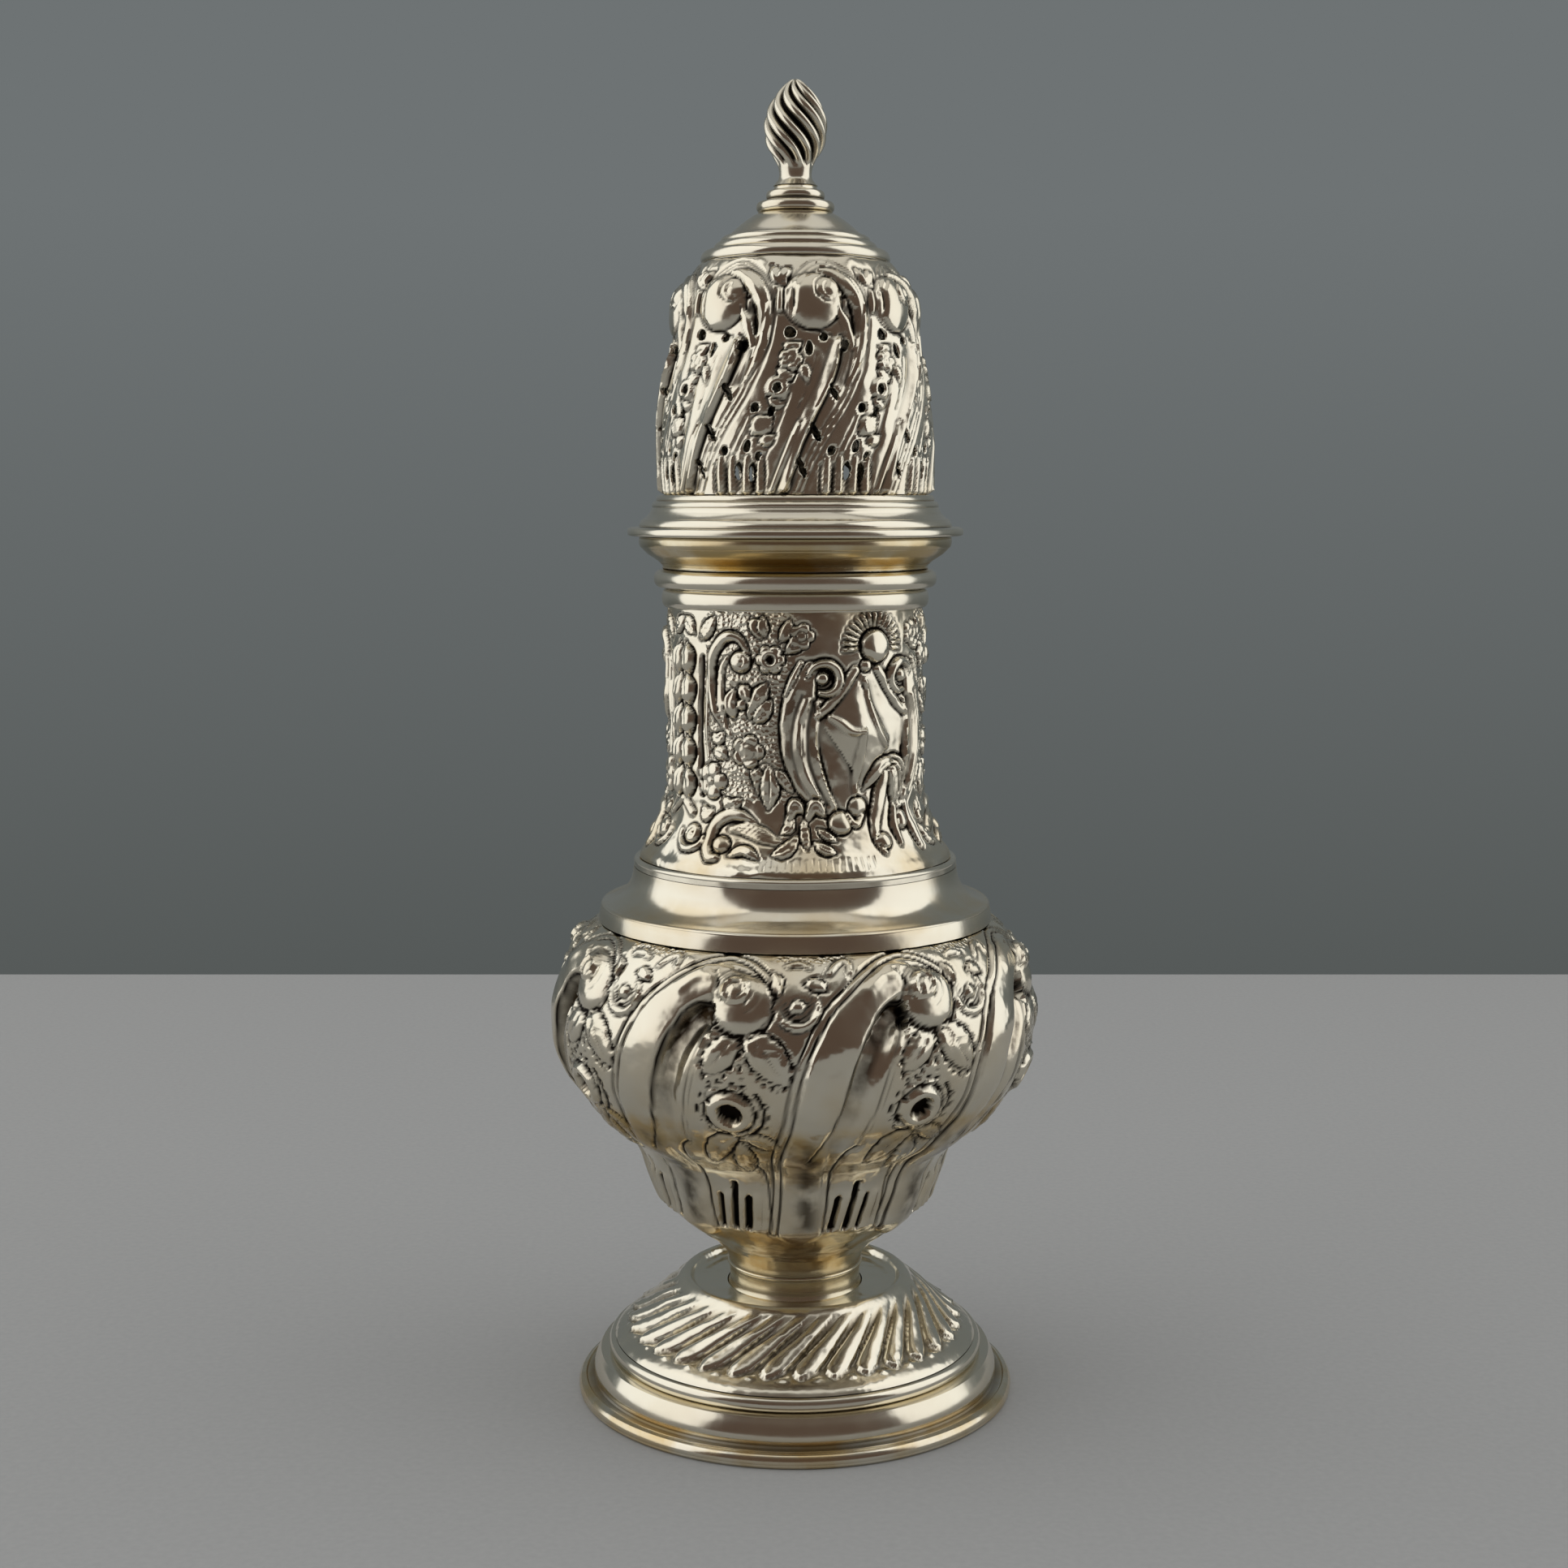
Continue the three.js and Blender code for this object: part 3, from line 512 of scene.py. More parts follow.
turn_piece("turned_finial_button", "finial_button", outline(
    (0, 180.65), (5.2, 180.65), arc((5.35, 180.7), (5.3, 182.2), 0.66, 10), (4.3, 182.5),
    arc((4.1, 182.6), (3.9, 183.8), 0.6, 8), (3.3, 184), (3.1, 184.45), (0, 184.45)),
    "cover", columns=128, golden=[(180, 0.4), (182, 0.1), (185, 0.1)])

# %% [markdown]
# ## Chasing
# Chasing pushes a sheet of silver about with small punches: from behind to raise it, and from the
# front to set the outlines down. It takes nothing away, so a height above the plain sheet describes
# all of it. A sheet here is a grid over one repeat of the ornament, with that height at each point.
# Punch strokes are paths of (angle, height) points, and each stroke needs only the distance to its
# path. Later work covers earlier work, as it does on the pitch bowl.


# %% A grid over the sheet
PATH_STEP = 0.45                # mm between two points of a punch's path


def hump(share):
    """A round hump: 1 where the share is 0, and 0 where it is 1 or more."""
    return np.clip(1 - share * share, 0, 1)


class Grid:
    """One repeat of a round sheet: a grid of angles and section points with a relief in mm."""

    def __init__(self, section, columns, repeat, lean=((0, 0),)):
        """Lean gives (height, angle) pairs: the columns follow it, so long strokes run crisp."""
        self.repeat = repeat
        self.section = section
        self.along = run_along(section)
        self.lean = np.interp(section[:, 1], *zip(*lean))
        self.angle = self.lean[:, None] + np.arange(columns) * repeat / columns
        self.degree, self.up, self.z = (
            np.repeat(values[:, None], columns, axis=1)
            for values in (section[:, 0] * math.pi / 180, self.along, section[:, 1]))
        self.form, self.raised, self.cut, self.matted, self.stained = np.zeros(
            (5, *self.angle.shape))

    def wrapped(self, turn):
        """An angle difference, brought within half a repeat."""
        return (turn + self.repeat / 2) % self.repeat - self.repeat / 2

    def near(self, path, reach):
        """Distance to a path, how far along it from 0 to 1, and the side (+ is its right)."""
        given = np.array(path, float)
        length = run_along(given * [self.degree.mean(), 1])[-1]
        x, y = flowing(path, max(8, int(length / PATH_STEP))).T
        y = np.interp(y, self.section[:, 1], self.along)
        middle = (x.min() + x.max()) / 2
        spare = np.abs(self.wrapped(self.angle - middle)) - (x.max() - x.min()) / 2
        close = (spare * self.degree < reach) & (self.up > y.min() - reach)
        close &= self.up < y.max() + reach
        scale = self.degree[close]
        across = self.wrapped(self.angle[close][:, None] - x) * scale[:, None]
        rise = self.up[close][:, None] - y
        pick = np.hypot(across, rise).argmin(axis=1)
        each = np.arange(len(pick))
        dx = across[each, pick]
        dy = rise[each, pick]
        ahead_x = np.gradient(x)[pick] * scale
        ahead_y = np.gradient(y)[pick]
        step = np.hypot(ahead_x, ahead_y) + 1e-9
        lengthwise = (dx * ahead_x + dy * ahead_y) / step
        sideways = (dx * ahead_y - dy * ahead_x) / step
        last = len(x) - 1
        beyond = np.where(pick == 0, np.minimum(lengthwise, 0), 0)
        beyond = np.where(pick == last, np.maximum(lengthwise, 0), beyond)
        far = np.full(self.angle.shape, 99.0)
        share = np.zeros(self.angle.shape)
        side = np.ones(self.angle.shape)
        far[close] = np.hypot(sideways, beyond)
        share[close] = np.clip((pick + lengthwise / step) / last, 0, 1)
        side[close] = np.where(sideways >= 0, 1.0, -1.0)
        return far, share, side

    def polar(self, centre, stretch=1.0):
        """Distance and direction from a centre, measured on the sheet."""
        across = self.wrapped(self.angle - centre[0]) * self.degree
        up = (self.up - np.interp(centre[1], self.section[:, 1], self.along)) / stretch
        return np.hypot(across, up), np.arctan2(up, across)

    def curl(self, centre, start, end, turn_from, turn_to, count=12):
        """Points of an arc or a spiral round a centre. 0 degrees is to its right, 90 above it."""
        turns = np.radians(np.linspace(turn_from, turn_to, count))
        radii = np.linspace(start, end, count)
        scale = np.interp(centre[1], self.section[:, 1], self.section[:, 0]) * math.pi / 180
        along = np.interp(centre[1], self.section[:, 1], self.along) + radii * np.sin(turns)
        heights = np.interp(along, self.along, self.section[:, 1])
        return list(zip(centre[0] + radii * np.cos(turns) / scale, heights))


print("a punch's path has a point every", PATH_STEP, "mm")

# %% [markdown]
# ## Lines and ridges
# A tracer is a blunt chisel that is walked along with a hammer. It leaves a soft groove, and the
# silver between two grooves reads as a ridge. A matting punch then dots the ground around them.
# Each stroke is a round hump or groove across its path, which is cheap and never shows a corner.


# %% Tracing and matting
STILL_SHOWS = 0.35              # share of earlier relief that later work leaves


class Traced(Grid):
    """A grid that takes lines, ridges and matting."""

    def lay(self, height, inside):
        """Raised work: it stands on the form and covers earlier lines."""
        self.raised = np.where(inside, np.maximum(self.raised * STILL_SHOWS, height), self.raised)
        self.cut = np.where(inside, 0.0, self.cut)
        self.matted = np.where(inside, 0.0, self.matted)

    def engrave(self, past, width, depth):
        """Cuts a groove where past, a distance in mm, is 0. Width is half of the groove's."""
        self.cut = np.minimum(self.cut, -depth * hump(past / width))

    def line(self, path, width, depth, offset=0.0, dashes=0):
        """An engraved line. Width is half of it, in mm. Offset shifts it to the path's right."""
        far, share, side = self.near(path, width + abs(offset) + 1)
        if dashes:
            depth = depth * np.clip(0.7 + np.sin(share * dashes * 2 * math.pi), 0, 1)
        self.engrave(far * side - offset, width, depth)

    def ridge(self, path, width, height, taper=0.0):
        """A fine ridge on top of what is there. Taper thins its ends."""
        far, share, side = self.near(path, width + 1)
        half = width * (1 - taper * np.abs(share * 2 - 1) ** 2)
        self.raised = self.raised + height * hump(far / half) ** 1.5

    def mat(self, path, width):
        """Marks the ground near a path for the dotting punch, where nothing is raised."""
        far = self.near(path, width + 1)[0]
        ground = np.clip((width - far) / 0.6, 0, 1) * (self.raised < 0.02)
        self.matted = np.maximum(self.matted, ground)


print("strokes:", [name for name in vars(Traced) if not name.startswith("_")])

# %% [markdown]
# ## Raised work
# Straps, leaves, pearls and flowers are pushed up from behind and then sharpened from the front by
# a line round their edge. So each shape below lays a swelling first and engraves its outline next.


# %% Raised shapes
VEIN_WIDTH = 0.26               # mm, half of a leaf's middle vein
RIB_DEPTH = 0.16                # mm between the ribs of a strap


class Sheet(Traced):
    """A sheet that takes raised shapes too."""

    def strap(self, path, widths, height, edge=0.18, hollow=0.0, ribs=0):
        """A rounded strap along a path, with half-widths in mm from start to end."""
        far, share, side = self.near(path, max(widths) + 1.2)
        half = np.interp(share, np.linspace(0, 1, len(widths)), widths)
        d = far / np.maximum(half, 0.05)
        crown = np.sqrt(hump(d)) * height - hollow * height * hump(d / 0.6)
        crown *= np.clip(half / max(widths), 0.25, 1)
        if ribs:
            rib = np.clip(np.cos(d * side * math.pi * ribs) - 0.55, 0, 1) / 0.45
            crown -= RIB_DEPTH * rib * (d < 0.85)
        self.lay(crown, d < 1)
        self.engrave(far - half - 0.15, 0.32, edge)

    def leaf(self, path, width, height, vein=0.14, nicks=5, ribs=0.05):
        """A leaf from its stalk to its tip. Nicks scallop its edge."""
        far, share, side = self.near(path, width + 1.2)
        scallop = 1 + 0.1 * np.abs(np.sin(share * math.pi * nicks))
        half = width * np.sin(math.pi * np.clip(share, 0.02, 0.98)) ** 0.65 * scallop
        d = far / np.maximum(half, 0.05)
        blade = height * (1 - d**4) * np.clip(half / width, 0.3, 1)
        blade += np.where(d < 0.9, np.sin((share * nicks - d * 0.6) * 2 * math.pi) * ribs, 0)
        blade -= vein * hump(far / VEIN_WIDTH)
        self.lay(blade, d < 1)
        self.engrave(far - half - 0.12, 0.3, 0.24)

    def boss(self, centre, radius, height, edge=0.2, stretch=1.0, flat=2.0, power=0.5):
        """A boss or pearl. Stretch makes it taller, flat broader, and power softer at its edge."""
        far = self.polar(centre, stretch)[0]
        d = far / radius
        self.lay(np.clip(1 - d**flat, 0, 1) ** power * height, d < 1)
        self.engrave(far - radius - 0.12, 0.3, edge)

    def ring(self, centre, radius, width, height, sunk=0.0):
        """A raised ring round a hole that is sunk below the sheet."""
        far = self.polar(centre)[0]
        self.lay(height * np.sqrt(hump((far - radius) / width)), far < radius + width)
        hole = np.clip((radius - width * 0.7 - far) / 0.35, 0, 1)
        self.cut = np.minimum(self.cut, -sunk * hole)

    def flower(self, centre, radius, petals, height, eye, start=0.0):
        """A flower: petals round a raised eye, with an outline cut round all of it."""
        far, turn = self.polar(centre)
        lobe = np.abs(np.cos((turn - start) * petals / 2))
        reach = radius * (0.7 + 0.3 * lobe ** 0.6)
        d = far / reach
        petal = height * np.sqrt(np.clip(1 - (d * 2 - 1) ** 2 * 0.9, 0, 1))
        self.lay(petal * (0.5 + 0.5 * lobe ** 0.5), d < 1)
        self.raised = np.where(far < radius * eye, height * 0.9, self.raised)
        self.engrave(far - reach - 0.1, 0.28, 0.2)
        self.engrave(far - radius * eye, 0.25, 0.25)

    def relief(self):
        """The whole relief in mm."""
        return self.form + self.raised + self.cut

    def report(self, work):
        """Prints how high and how deep the sheet is after some work."""
        relief = self.relief()
        print(f"{work}: from {relief.min():.2f} to {relief.max():.2f} mm")


# %% Softening a field
def eased(value):
    """A smooth step from 0 to 1."""
    value = np.clip(value, 0, 1)
    return value * value * (3 - 2 * value)


def neighbours(field, steps=1):
    """The field moved up and down by some rows. Its end rows stand in for missing ones."""
    rows = np.arange(len(field))
    return field[np.minimum(rows + steps, rows[-1])], field[np.maximum(rows - steps, 0)]


def blurred(field, passes, steps=1):
    """A field softened over the grid. Columns go round, rows stop at the ends."""
    for _ in range(passes):
        field = (np.roll(field, steps, 1) + field + np.roll(field, -steps, 1)) / 3
        up, down = neighbours(field, steps)
        field = (up + field + down) / 3
    return field


def uneven(sheet, seed, height):
    """Low swellings a few grid steps wide, as punches leave in the ground."""
    rough = np.random.default_rng(seed).normal(size=sheet.form.shape)
    smooth = blurred(blurred(rough, 4, 1), 4, 2)
    return height * smooth / smooth.std()


print("eased(0.25) is", eased(0.25))

# %% [markdown]
# ## Bowl
# The bowl is raised from one sheet: a fluted cup below a ledge, and a belly with eight swirling
# shafts. Each shaft leans to the right as it rises, curls over a deep channel and ends in a knob.
# Between two shafts lies a panel with a rose and leaves. One eighth is chased here and repeated.

# %% Bowl sheet and its large forms
REPEATS = 8                     # swirls round the bowl, and round the dome
EIGHTH = 360 / REPEATS          # degrees
BOWL_ROWS = 164
BOWL_COLUMNS = 70               # for one of the eight repeats, so a point about every 0.4 mm
BOWL_LEAN = [(30.5, -9.1), (35.1, -7.4), (45.1, -5.3), (50.1, -2.4), (55.1, -0.8), (60.1, 1.3),
             (65.1, 4.7), (69, 8), (75, 10)]
bowl_outline = flowing([
    (11.9, 23.35), (12.4, 24), (15, 26), (17.6, 28), (19.9, 30), (20.9, 31),
    (21.4, 32), (22.2, 34), (22.9, 36), (23.5, 38), (24.3, 39.6), (25.3, 41),
    (27, 42.3), (29.3, 44), (31.2, 46), (32.6, 48), (34.1, 50), (35.3, 52),
    (36.2, 54), (36.8, 57), (37, 60), (37, 62), (36.6, 64), (36, 66),
    (35.3, 68), (34.5, 70), (33.5, 71.5), (32.2, 73), (31.2, 73.8), (30, 74.45)], 700)
bowl = Sheet(even(bowl_outline, BOWL_ROWS), BOWL_COLUMNS, EIGHTH, BOWL_LEAN)

BORDER = [(-9.1, 30.5), (-7.4, 35.1), (-5.3, 45.1), (-2.4, 50.1), (-0.8, 55.1), (1.3, 60.1),
          (4.7, 65.1), (8.4, 68.3), (12.2, 70.3), (17.2, 72.4), (23, 73.8), (29.7, 74.1),
          (35.5, 73.1), (38.8, 71.3), (39.8, 68.7), (38, 66.2), (34.7, 64.6), (30.5, 64.6),
          (27.4, 65.6)]
SHAFT = [(1.4, 31), (1.6, 40), (2.7, 47), (4.8, 52), (6.6, 56), (8.4, 60.5), (12, 65.2),
         (15.8, 68.6), (20.2, 70.7), (25.5, 71.4), (30.5, 70.6)]
LIP = [(3.4, 45), (7.6, 49), (9.7, 52.6), (11.3, 56.9), (13.4, 61), (16.3, 64.6),
       (19.4, 67.3), (22.6, 68.5), (26.2, 68.4)]
PANEL_EDGE = [(15.4, 46.8), (17, 50.1), (18.7, 54), (20.3, 57.6), (22.2, 61.2),
              (24.2, 64.4), (25.8, 66.4)]
KNOB = (32.4, 68.6)
SHAFT_STEP = 0.42               # mm that a shaft's edge stands above the ground
SHAFT_CROWN = 0.25              # mm that its middle stands above its edge
CHANNEL_WIDTH = 5.2             # mm from a shaft's lip to the panel's edge

far, share, _ = bowl.near(SHAFT, 9)
shaft_half = np.interp(share, [0, 0.3, 0.5, 0.75, 0.9, 1], [3.3, 3.1, 3.4, 3.2, 2.4, 2.2])
d = far / shaft_half
bowl.form += SHAFT_STEP * eased((1.08 - d) / 0.2) + SHAFT_CROWN * hump(d)
far, share, side = bowl.near(LIP, 7)
into = far * side / CHANNEL_WIDTH       # 0 at the lip, 1 at the panel's edge
open_here = (into > 0) & (into < 1) & (share < 0.999)
drop = np.interp(bowl.z, [45, 49, 54, 60, 65, 68.5], [0, 0.4, 0.9, 1.4, 2.1, 2.2])
wall = eased(into / 0.12)
bowl.form -= np.where(open_here, drop * wall * (1 - eased((into - 0.5) / 0.5)), 0)
# Painted shade: brown is painted in each channel from the shaft's lip across a little over half its
# width, stronger towards the top, where the channel is deepest and the shaft curls over it.
browned = np.interp(bowl.z, [49, 55, 62, 67], [0, 0.55, 0.8, 1.3])
bowl.stained = np.where(open_here, browned * wall * (1 - eased((into - 0.5) / 0.2)), 0)
turned = bowl.wrapped(bowl.angle - 4)
dribble = np.exp(-(turned / 4.5) ** 2) * eased((bowl.z - 30) / 3) * eased((50 - bowl.z) / 4)
ledge = eased((bowl.z - 43.5) / 1.5) * eased((49.5 - bowl.z) / 2.5)
bowl.stained = np.maximum(bowl.stained, np.maximum(0.85 * dribble, 0.4 * ledge))
bowl.line(LIP, 0.34, 0.3)
bowl.line(PANEL_EDGE, 0.3, 0.22)
bowl.line(PANEL_EDGE, 0.26, 0.16, offset=0.75)
bowl.form += uneven(bowl, 3, 0.05)
print("bowl channel depth in mm:", round(float(-bowl.form.min()), 2))

# %% [markdown]
# ## Bowl: panel
# The panel's flowers are low and crisp. Each is set down first by its outline, and the rose covers
# the leaves behind it. The knob and its curl come last, because they stand highest.

# %% Bowl panel
bowl.leaf([(30.4, 48.8), (26, 47.4), (20.6, 43.4)], 1.7, 0.3, ribs=0.04)
bowl.leaf([(31.8, 48.8), (35.6, 48.2), (40.8, 46.6)], 1.3, 0.3, ribs=0.04)
bowl.leaf([(30.9, 47.6), (31, 45), (30.6, 41.6)], 1.5, 0.35, ribs=0.04)
bowl.leaf([(31.4, 64.4), (28.4, 61.8), (24.8, 59)], 2, 0.3, vein=0.2, nicks=3, ribs=0.03)
bowl.leaf([(33.6, 64.8), (38.6, 61.6), (42.6, 57.6)], 2.5, 0.35, vein=0.2, nicks=3, ribs=0.04)
bowl.line([(33, 65), (38, 64.7), (42.2, 62.8), (44.2, 60), (43.6, 57.6), (41, 56.6)],
          0.38, 0.45, dashes=9)
bowl.line([(32.8, 64.6), (34, 61), (37, 58), (41, 56.6)], 0.36, 0.4, dashes=7)
bowl.line([(31.2, 64.8), (26.6, 63.4), (23.6, 60.4), (24.4, 57.9), (28.6, 58.2), (31.4, 60.6)],
          0.38, 0.42, dashes=11)
bowl.line([(38, 62), (40.6, 62.2), (42.6, 61)], 0.24, 0.2)
bowl.line([(36, 62.8), (36.6, 61), (38.8, 58.8)], 0.24, 0.2)
bowl.line([(33, 64), (32.4, 61), (33, 58.4)], 0.38, 0.4, dashes=3)

ROSE = (29.8, 52.8)
bowl.flower(ROSE, 4.6, 7, 0.35, eye=0.72, start=0.4)
for start, end, radius in ((10, 150, 3.75), (-75, 5, 3.75), (-60, 40, 5), (160, 215, 3.9)):
    bowl.line(bowl.curl(ROSE, radius, radius, start, end), 0.42, 0.42)
bowl.line(bowl.curl(ROSE, 5, 5, 60, 200), 0.34, 0.32, dashes=6)
bowl.line(bowl.curl(ROSE, 5.8, 5.6, -50, 30), 0.34, 0.32, dashes=4)
bowl.ring(ROSE, 2.45, 0.85, 0.75, sunk=1.1)
bowl.report("bowl with its panel")

# %% Bowl cup
CUP_ARCH = [(11.2, 30.9), (11.7, 38.3), (11.5, 43.2), (13.2, 45.8), (16, 47)]
CUP_FAR_SIDE = [(35.6, 30.9), (35.4, 35.1), (34.7, 40.5), (32.6, 43.8)]
for slot_angle, top in ((14.4, 36.4), (20.4, 38.8), (25.7, 36.4)):
    lean = (top - 31.4) * 0.33
    bowl.line([(slot_angle, 31.4), (slot_angle + lean / 2, (31.4 + top) / 2),
               (slot_angle + lean, top)], 0.62, 1)
for rib_angle in (17.6, 23.4, 29.2):
    bowl.ridge([(rib_angle, 31.2), (rib_angle + 0.8, 34), (rib_angle + 1.7, 36.8)], 0.75, 0.3)
for edge in (CUP_ARCH, CUP_FAR_SIDE):
    bowl.line(edge, 0.36, 0.34)
bowl.form -= 0.3 * eased((bowl.z - 31) / 2) * eased((45 - bowl.z) / 4) * np.clip(
    np.sin(np.radians(bowl.wrapped(bowl.angle - bowl.lean[:, None] - 31)) * 8), 0, 1)
bowl.report("bowl with its cup")

# %% Bowl knob and border
SCROLL = (0.3, 68.3)
bowl.strap(bowl.curl(SCROLL, 2.9, 2.9, 150, 395), [0.3, 0.5, 0.55, 0.5, 0.3], 0.4)
bowl.line(bowl.curl(SCROLL, 1.7, 1.7, 160, 380), 0.3, 0.25)
bowl.boss(SCROLL, 1, 0.5)
bowl.leaf([(-5.6, 72.6), (-4.4, 71.4), (-4.2, 69.6)], 0.8, 0.45, nicks=1, ribs=0)
bowl.leaf([(2.2, 71.2), (4.7, 71.2), (7.2, 70.4)], 0.9, 0.45, nicks=2)
bowl.strap([(8.2, 72.4), (10.4, 73.5), (13.4, 73.4), (13.6, 72.5)], [0.4, 0.5, 0.35], 0.3)
bowl.strap([(-2.2, 73.4), (0.8, 73.7), (3.6, 73.2)], [0.35, 0.5, 0.35], 0.3)

for offset in (-0.6, 0.6):
    bowl.line(BORDER, 0.34, 0.36, offset=offset)
bowl.boss(KNOB, 4.3, 1.05, edge=0.1, flat=2.4, power=0.8)
CURL = (31, 70)
bowl.line(bowl.curl(CURL, 1.2, 0.8, 240, -70, 16), 0.3, 0.32)
bowl.line(bowl.curl(CURL, 2.3, 2, 215, -50, 20), 0.3, 0.32)
bowl.line(bowl.curl(CURL, 3.4, 3.2, 150, -60, 20), 0.26, 0.22)
bowl.ridge(bowl.curl(CURL, 1.75, 1.5, 220, -60, 16), 0.5, 0.22)
bowl.line([(25, 72.4), (26.4, 71), (27, 69)], 0.36, 0.34)
bowl.ridge([(17, 70), (21, 71.6), (25, 71.9)], 1.1, 0.22)
bowl.mat([(-4, 74.2), (4, 74), (12, 74.3)], 1.2)
bowl.report("whole bowl")

# %% [markdown]
# ## Bowl: mesh
# The eight repeats are laid side by side. The inside follows the outside at sheet thickness, as a
# raised bowl's does. Tarnish goes where the relief lies below its surroundings, and the gold tone
# sits on the ledge and under the cup.

# %% Helpers from a sheet to its piece
SHEET_CRISP = 60                # degrees: a sharper edge stays crisp on a chased piece
BOX_MARGIN = 0.02               # mm that chased work keeps inside its CAD piece's box
INSIDE_TARNISH = 0.3            # no polish goes inside


def tarnish(relief, spread, depth):
    """0 to 1: how far a point lies below what is around it."""
    return np.clip((blurred(relief, 6, spread) - relief) / depth, 0, 1)


def placed(section, relief, angles, along=None):
    """Points of a chased sheet: the relief stands square to the section."""
    ahead = np.gradient(section, axis=0)
    ahead /= np.linalg.norm(ahead, axis=1, keepdims=True)
    line = run_along(section)
    at = line[:, None] if along is None else along
    r, z, ahead_r, ahead_z = (np.interp(at, line, values) for values in (*section.T, *ahead.T))
    r = r + relief * ahead_z
    z = z - relief * ahead_r
    turn = np.radians(angles)
    return np.stack([r * np.sin(turn), -r * np.cos(turn), z], axis=-1)


def held(points, node):
    """The points brought inside their CAD piece's box, so that no relief stands out of it."""
    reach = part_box(node)[1].x / MM - BOX_MARGIN
    radius = np.hypot(points[:, :, 0], points[:, :, 1])
    points[:, :, :2] *= np.minimum(1, reach / radius)[:, :, None]
    points[:, :, 2] = np.clip(points[:, :, 2], LEVEL[node] + BOX_MARGIN, TOP[node] - BOX_MARGIN)
    return points


def all_round(sheet, *fields):
    """The sheet's fields repeated right round the axis."""
    return [np.tile(field, (1, round(360 / sheet.repeat))) for field in fields]


def layers(fields, before=0, after=0):
    """The four painted values by name, with unpainted rows before and after the sheet's own."""
    return {label: np.pad(field, ((before, after), (0, 0)))
            for label, field in zip(PAINTED, fields)}


def sheet_piece(name, node, sheet, thickness, golden, inner_step, mouth=None):
    """The chased sheet as one closed skin. Mouth is a plain section from outside to inside."""
    relief, chasing, stained, matted = all_round(
        sheet, sheet.relief(), sheet.raised + sheet.cut, sheet.stained, sheet.matted)
    columns = relief.shape[1]
    angles = around(columns) + sheet.lean[:, None]
    outside = placed(sheet.section, relief, angles)
    floor = relief
    for _ in range(inner_step):
        floor = np.minimum.reduce([np.roll(floor, 1, 1), np.roll(floor, -1, 1), floor])
        floor = np.minimum.reduce([*neighbours(floor), floor])
    picked = np.unique(np.append(np.arange(0, len(relief), inner_step), len(relief) - 1))[::-1]
    inside = placed(sheet.section, np.minimum(floor, 0) - thickness, angles)[picked]
    if mouth is not None:
        inside = np.concatenate([swept(mouth, columns), inside])
    points = held(np.concatenate([outside, inside]), node)
    # Fine lines hold the most tarnish, then wider hollows, then the valleys of the form.
    deep = tarnish(chasing, 1, 0.24) * 0.85 + tarnish(chasing, 2, 1.0) * 0.3
    deep += tarnish(relief, 4, 1.8) * 0.35
    tone = tone_at(outside[:, :, 2], golden)
    painted = layers((np.clip(deep, 0, 1), tone, stained, matted), after=len(inside))
    painted["recess"][len(outside):] = INSIDE_TARNISH
    print(f"{name}: relief {relief.min():.2f} to {relief.max():.2f} mm")
    make_piece(name, points, skin(points), "body", chased_silver, node, SHEET_CRISP,
               painted)


print("chased pieces keep", BOX_MARGIN, "mm inside the CAD boxes")

# %% Bowl mesh
BOWL_THICKNESS = 0.9            # mm
BOWL_TONES = [(23, 1), (29, 0.9), (31, 0.25), (38, 0.2), (43, 0.2), (45, 0.9), (49, 0.9),
              (51, 0.25), (60, 0.15), (66, 0.05), (70, 0.1), (75, 0.25)]
sheet_piece("chased_bowl", "bowl", bowl, BOWL_THICKNESS, BOWL_TONES, inner_step=14)

# %% [markdown]
# ## Neck
# The neck is a tube chased all over. Two blank shield shapes face front right and back left, with a
# pearl and fan above each, scroll arms at both sides, and plumes below. Scrolls, flowers and leaves
# fill the ground up to a hanging string of husks, where the next half begins. Each half is its own
# mirror image about the shield, so a stroke at one side is repeated at the other. Above the
# chasing, the tube runs on plain inside the wires and the lip, and is the caster's mouth.

# %% Neck sheet
NECK_ROWS = 178
NECK_COLUMNS = 240              # for one half, so a point about every 0.26 mm
SHIELD_ANGLE = 32.0
neck_outline = flowing([
    (23.9, 84.45), (23.6, 85.3), (22.9, 86.2), (22, 87.6), (21.2, 89.2), (20.4, 91),
    (19.8, 93), (19.45, 96), (19.4, 100), (19.4, 110), (19.4, 118), (19.3, 122.3)], 500)
neck = Sheet(even(neck_outline, NECK_ROWS), NECK_COLUMNS, 180)


def both(stroke, place, *sizes, **options):
    """The same stroke at both sides of the shield. Place is a path, or the centre of a boss."""
    place = np.array(place, float)
    stroke(place, *sizes, **options)
    stroke(place * [-1, 1] + [2 * SHIELD_ANGLE, 0], *sizes, **options)


neck.form += uneven(neck, 5, 0.07)
neck.report("plain neck")

# %% Neck flowers and leaves
both(neck.leaf, [(-20, 99.8), (-16.6, 98.4), (-15.4, 95.6)], 0.9, 0.35)
both(neck.leaf, [(-11.6, 100.2), (-11.2, 97.2), (-11.8, 94)], 1.4, 0.45, vein=0.25, ribs=0)
both(neck.line, [(-18.6, 99.4), (-14, 100.6), (-9.6, 100), (-6.4, 97.8)], 0.28, 0.25)
both(neck.leaf, [(-9, 99.6), (-6, 98.6), (-1.4, 96.4)], 0.8, 0.3)
both(neck.leaf, [(-20.6, 107), (-18, 109), (-12.6, 112.2)], 1.3, 0.5)
both(neck.leaf, [(-18.4, 106.6), (-15, 107.6), (-10.8, 109.8)], 1.1, 0.45)
both(neck.leaf, [(-27.6, 111.2), (-29.4, 109), (-27.4, 107)], 1.2, 0.6, ribs=0)
both(neck.leaf, [(-25, 111.8), (-22.4, 110.6), (-22, 108.6)], 1, 0.55, ribs=0)
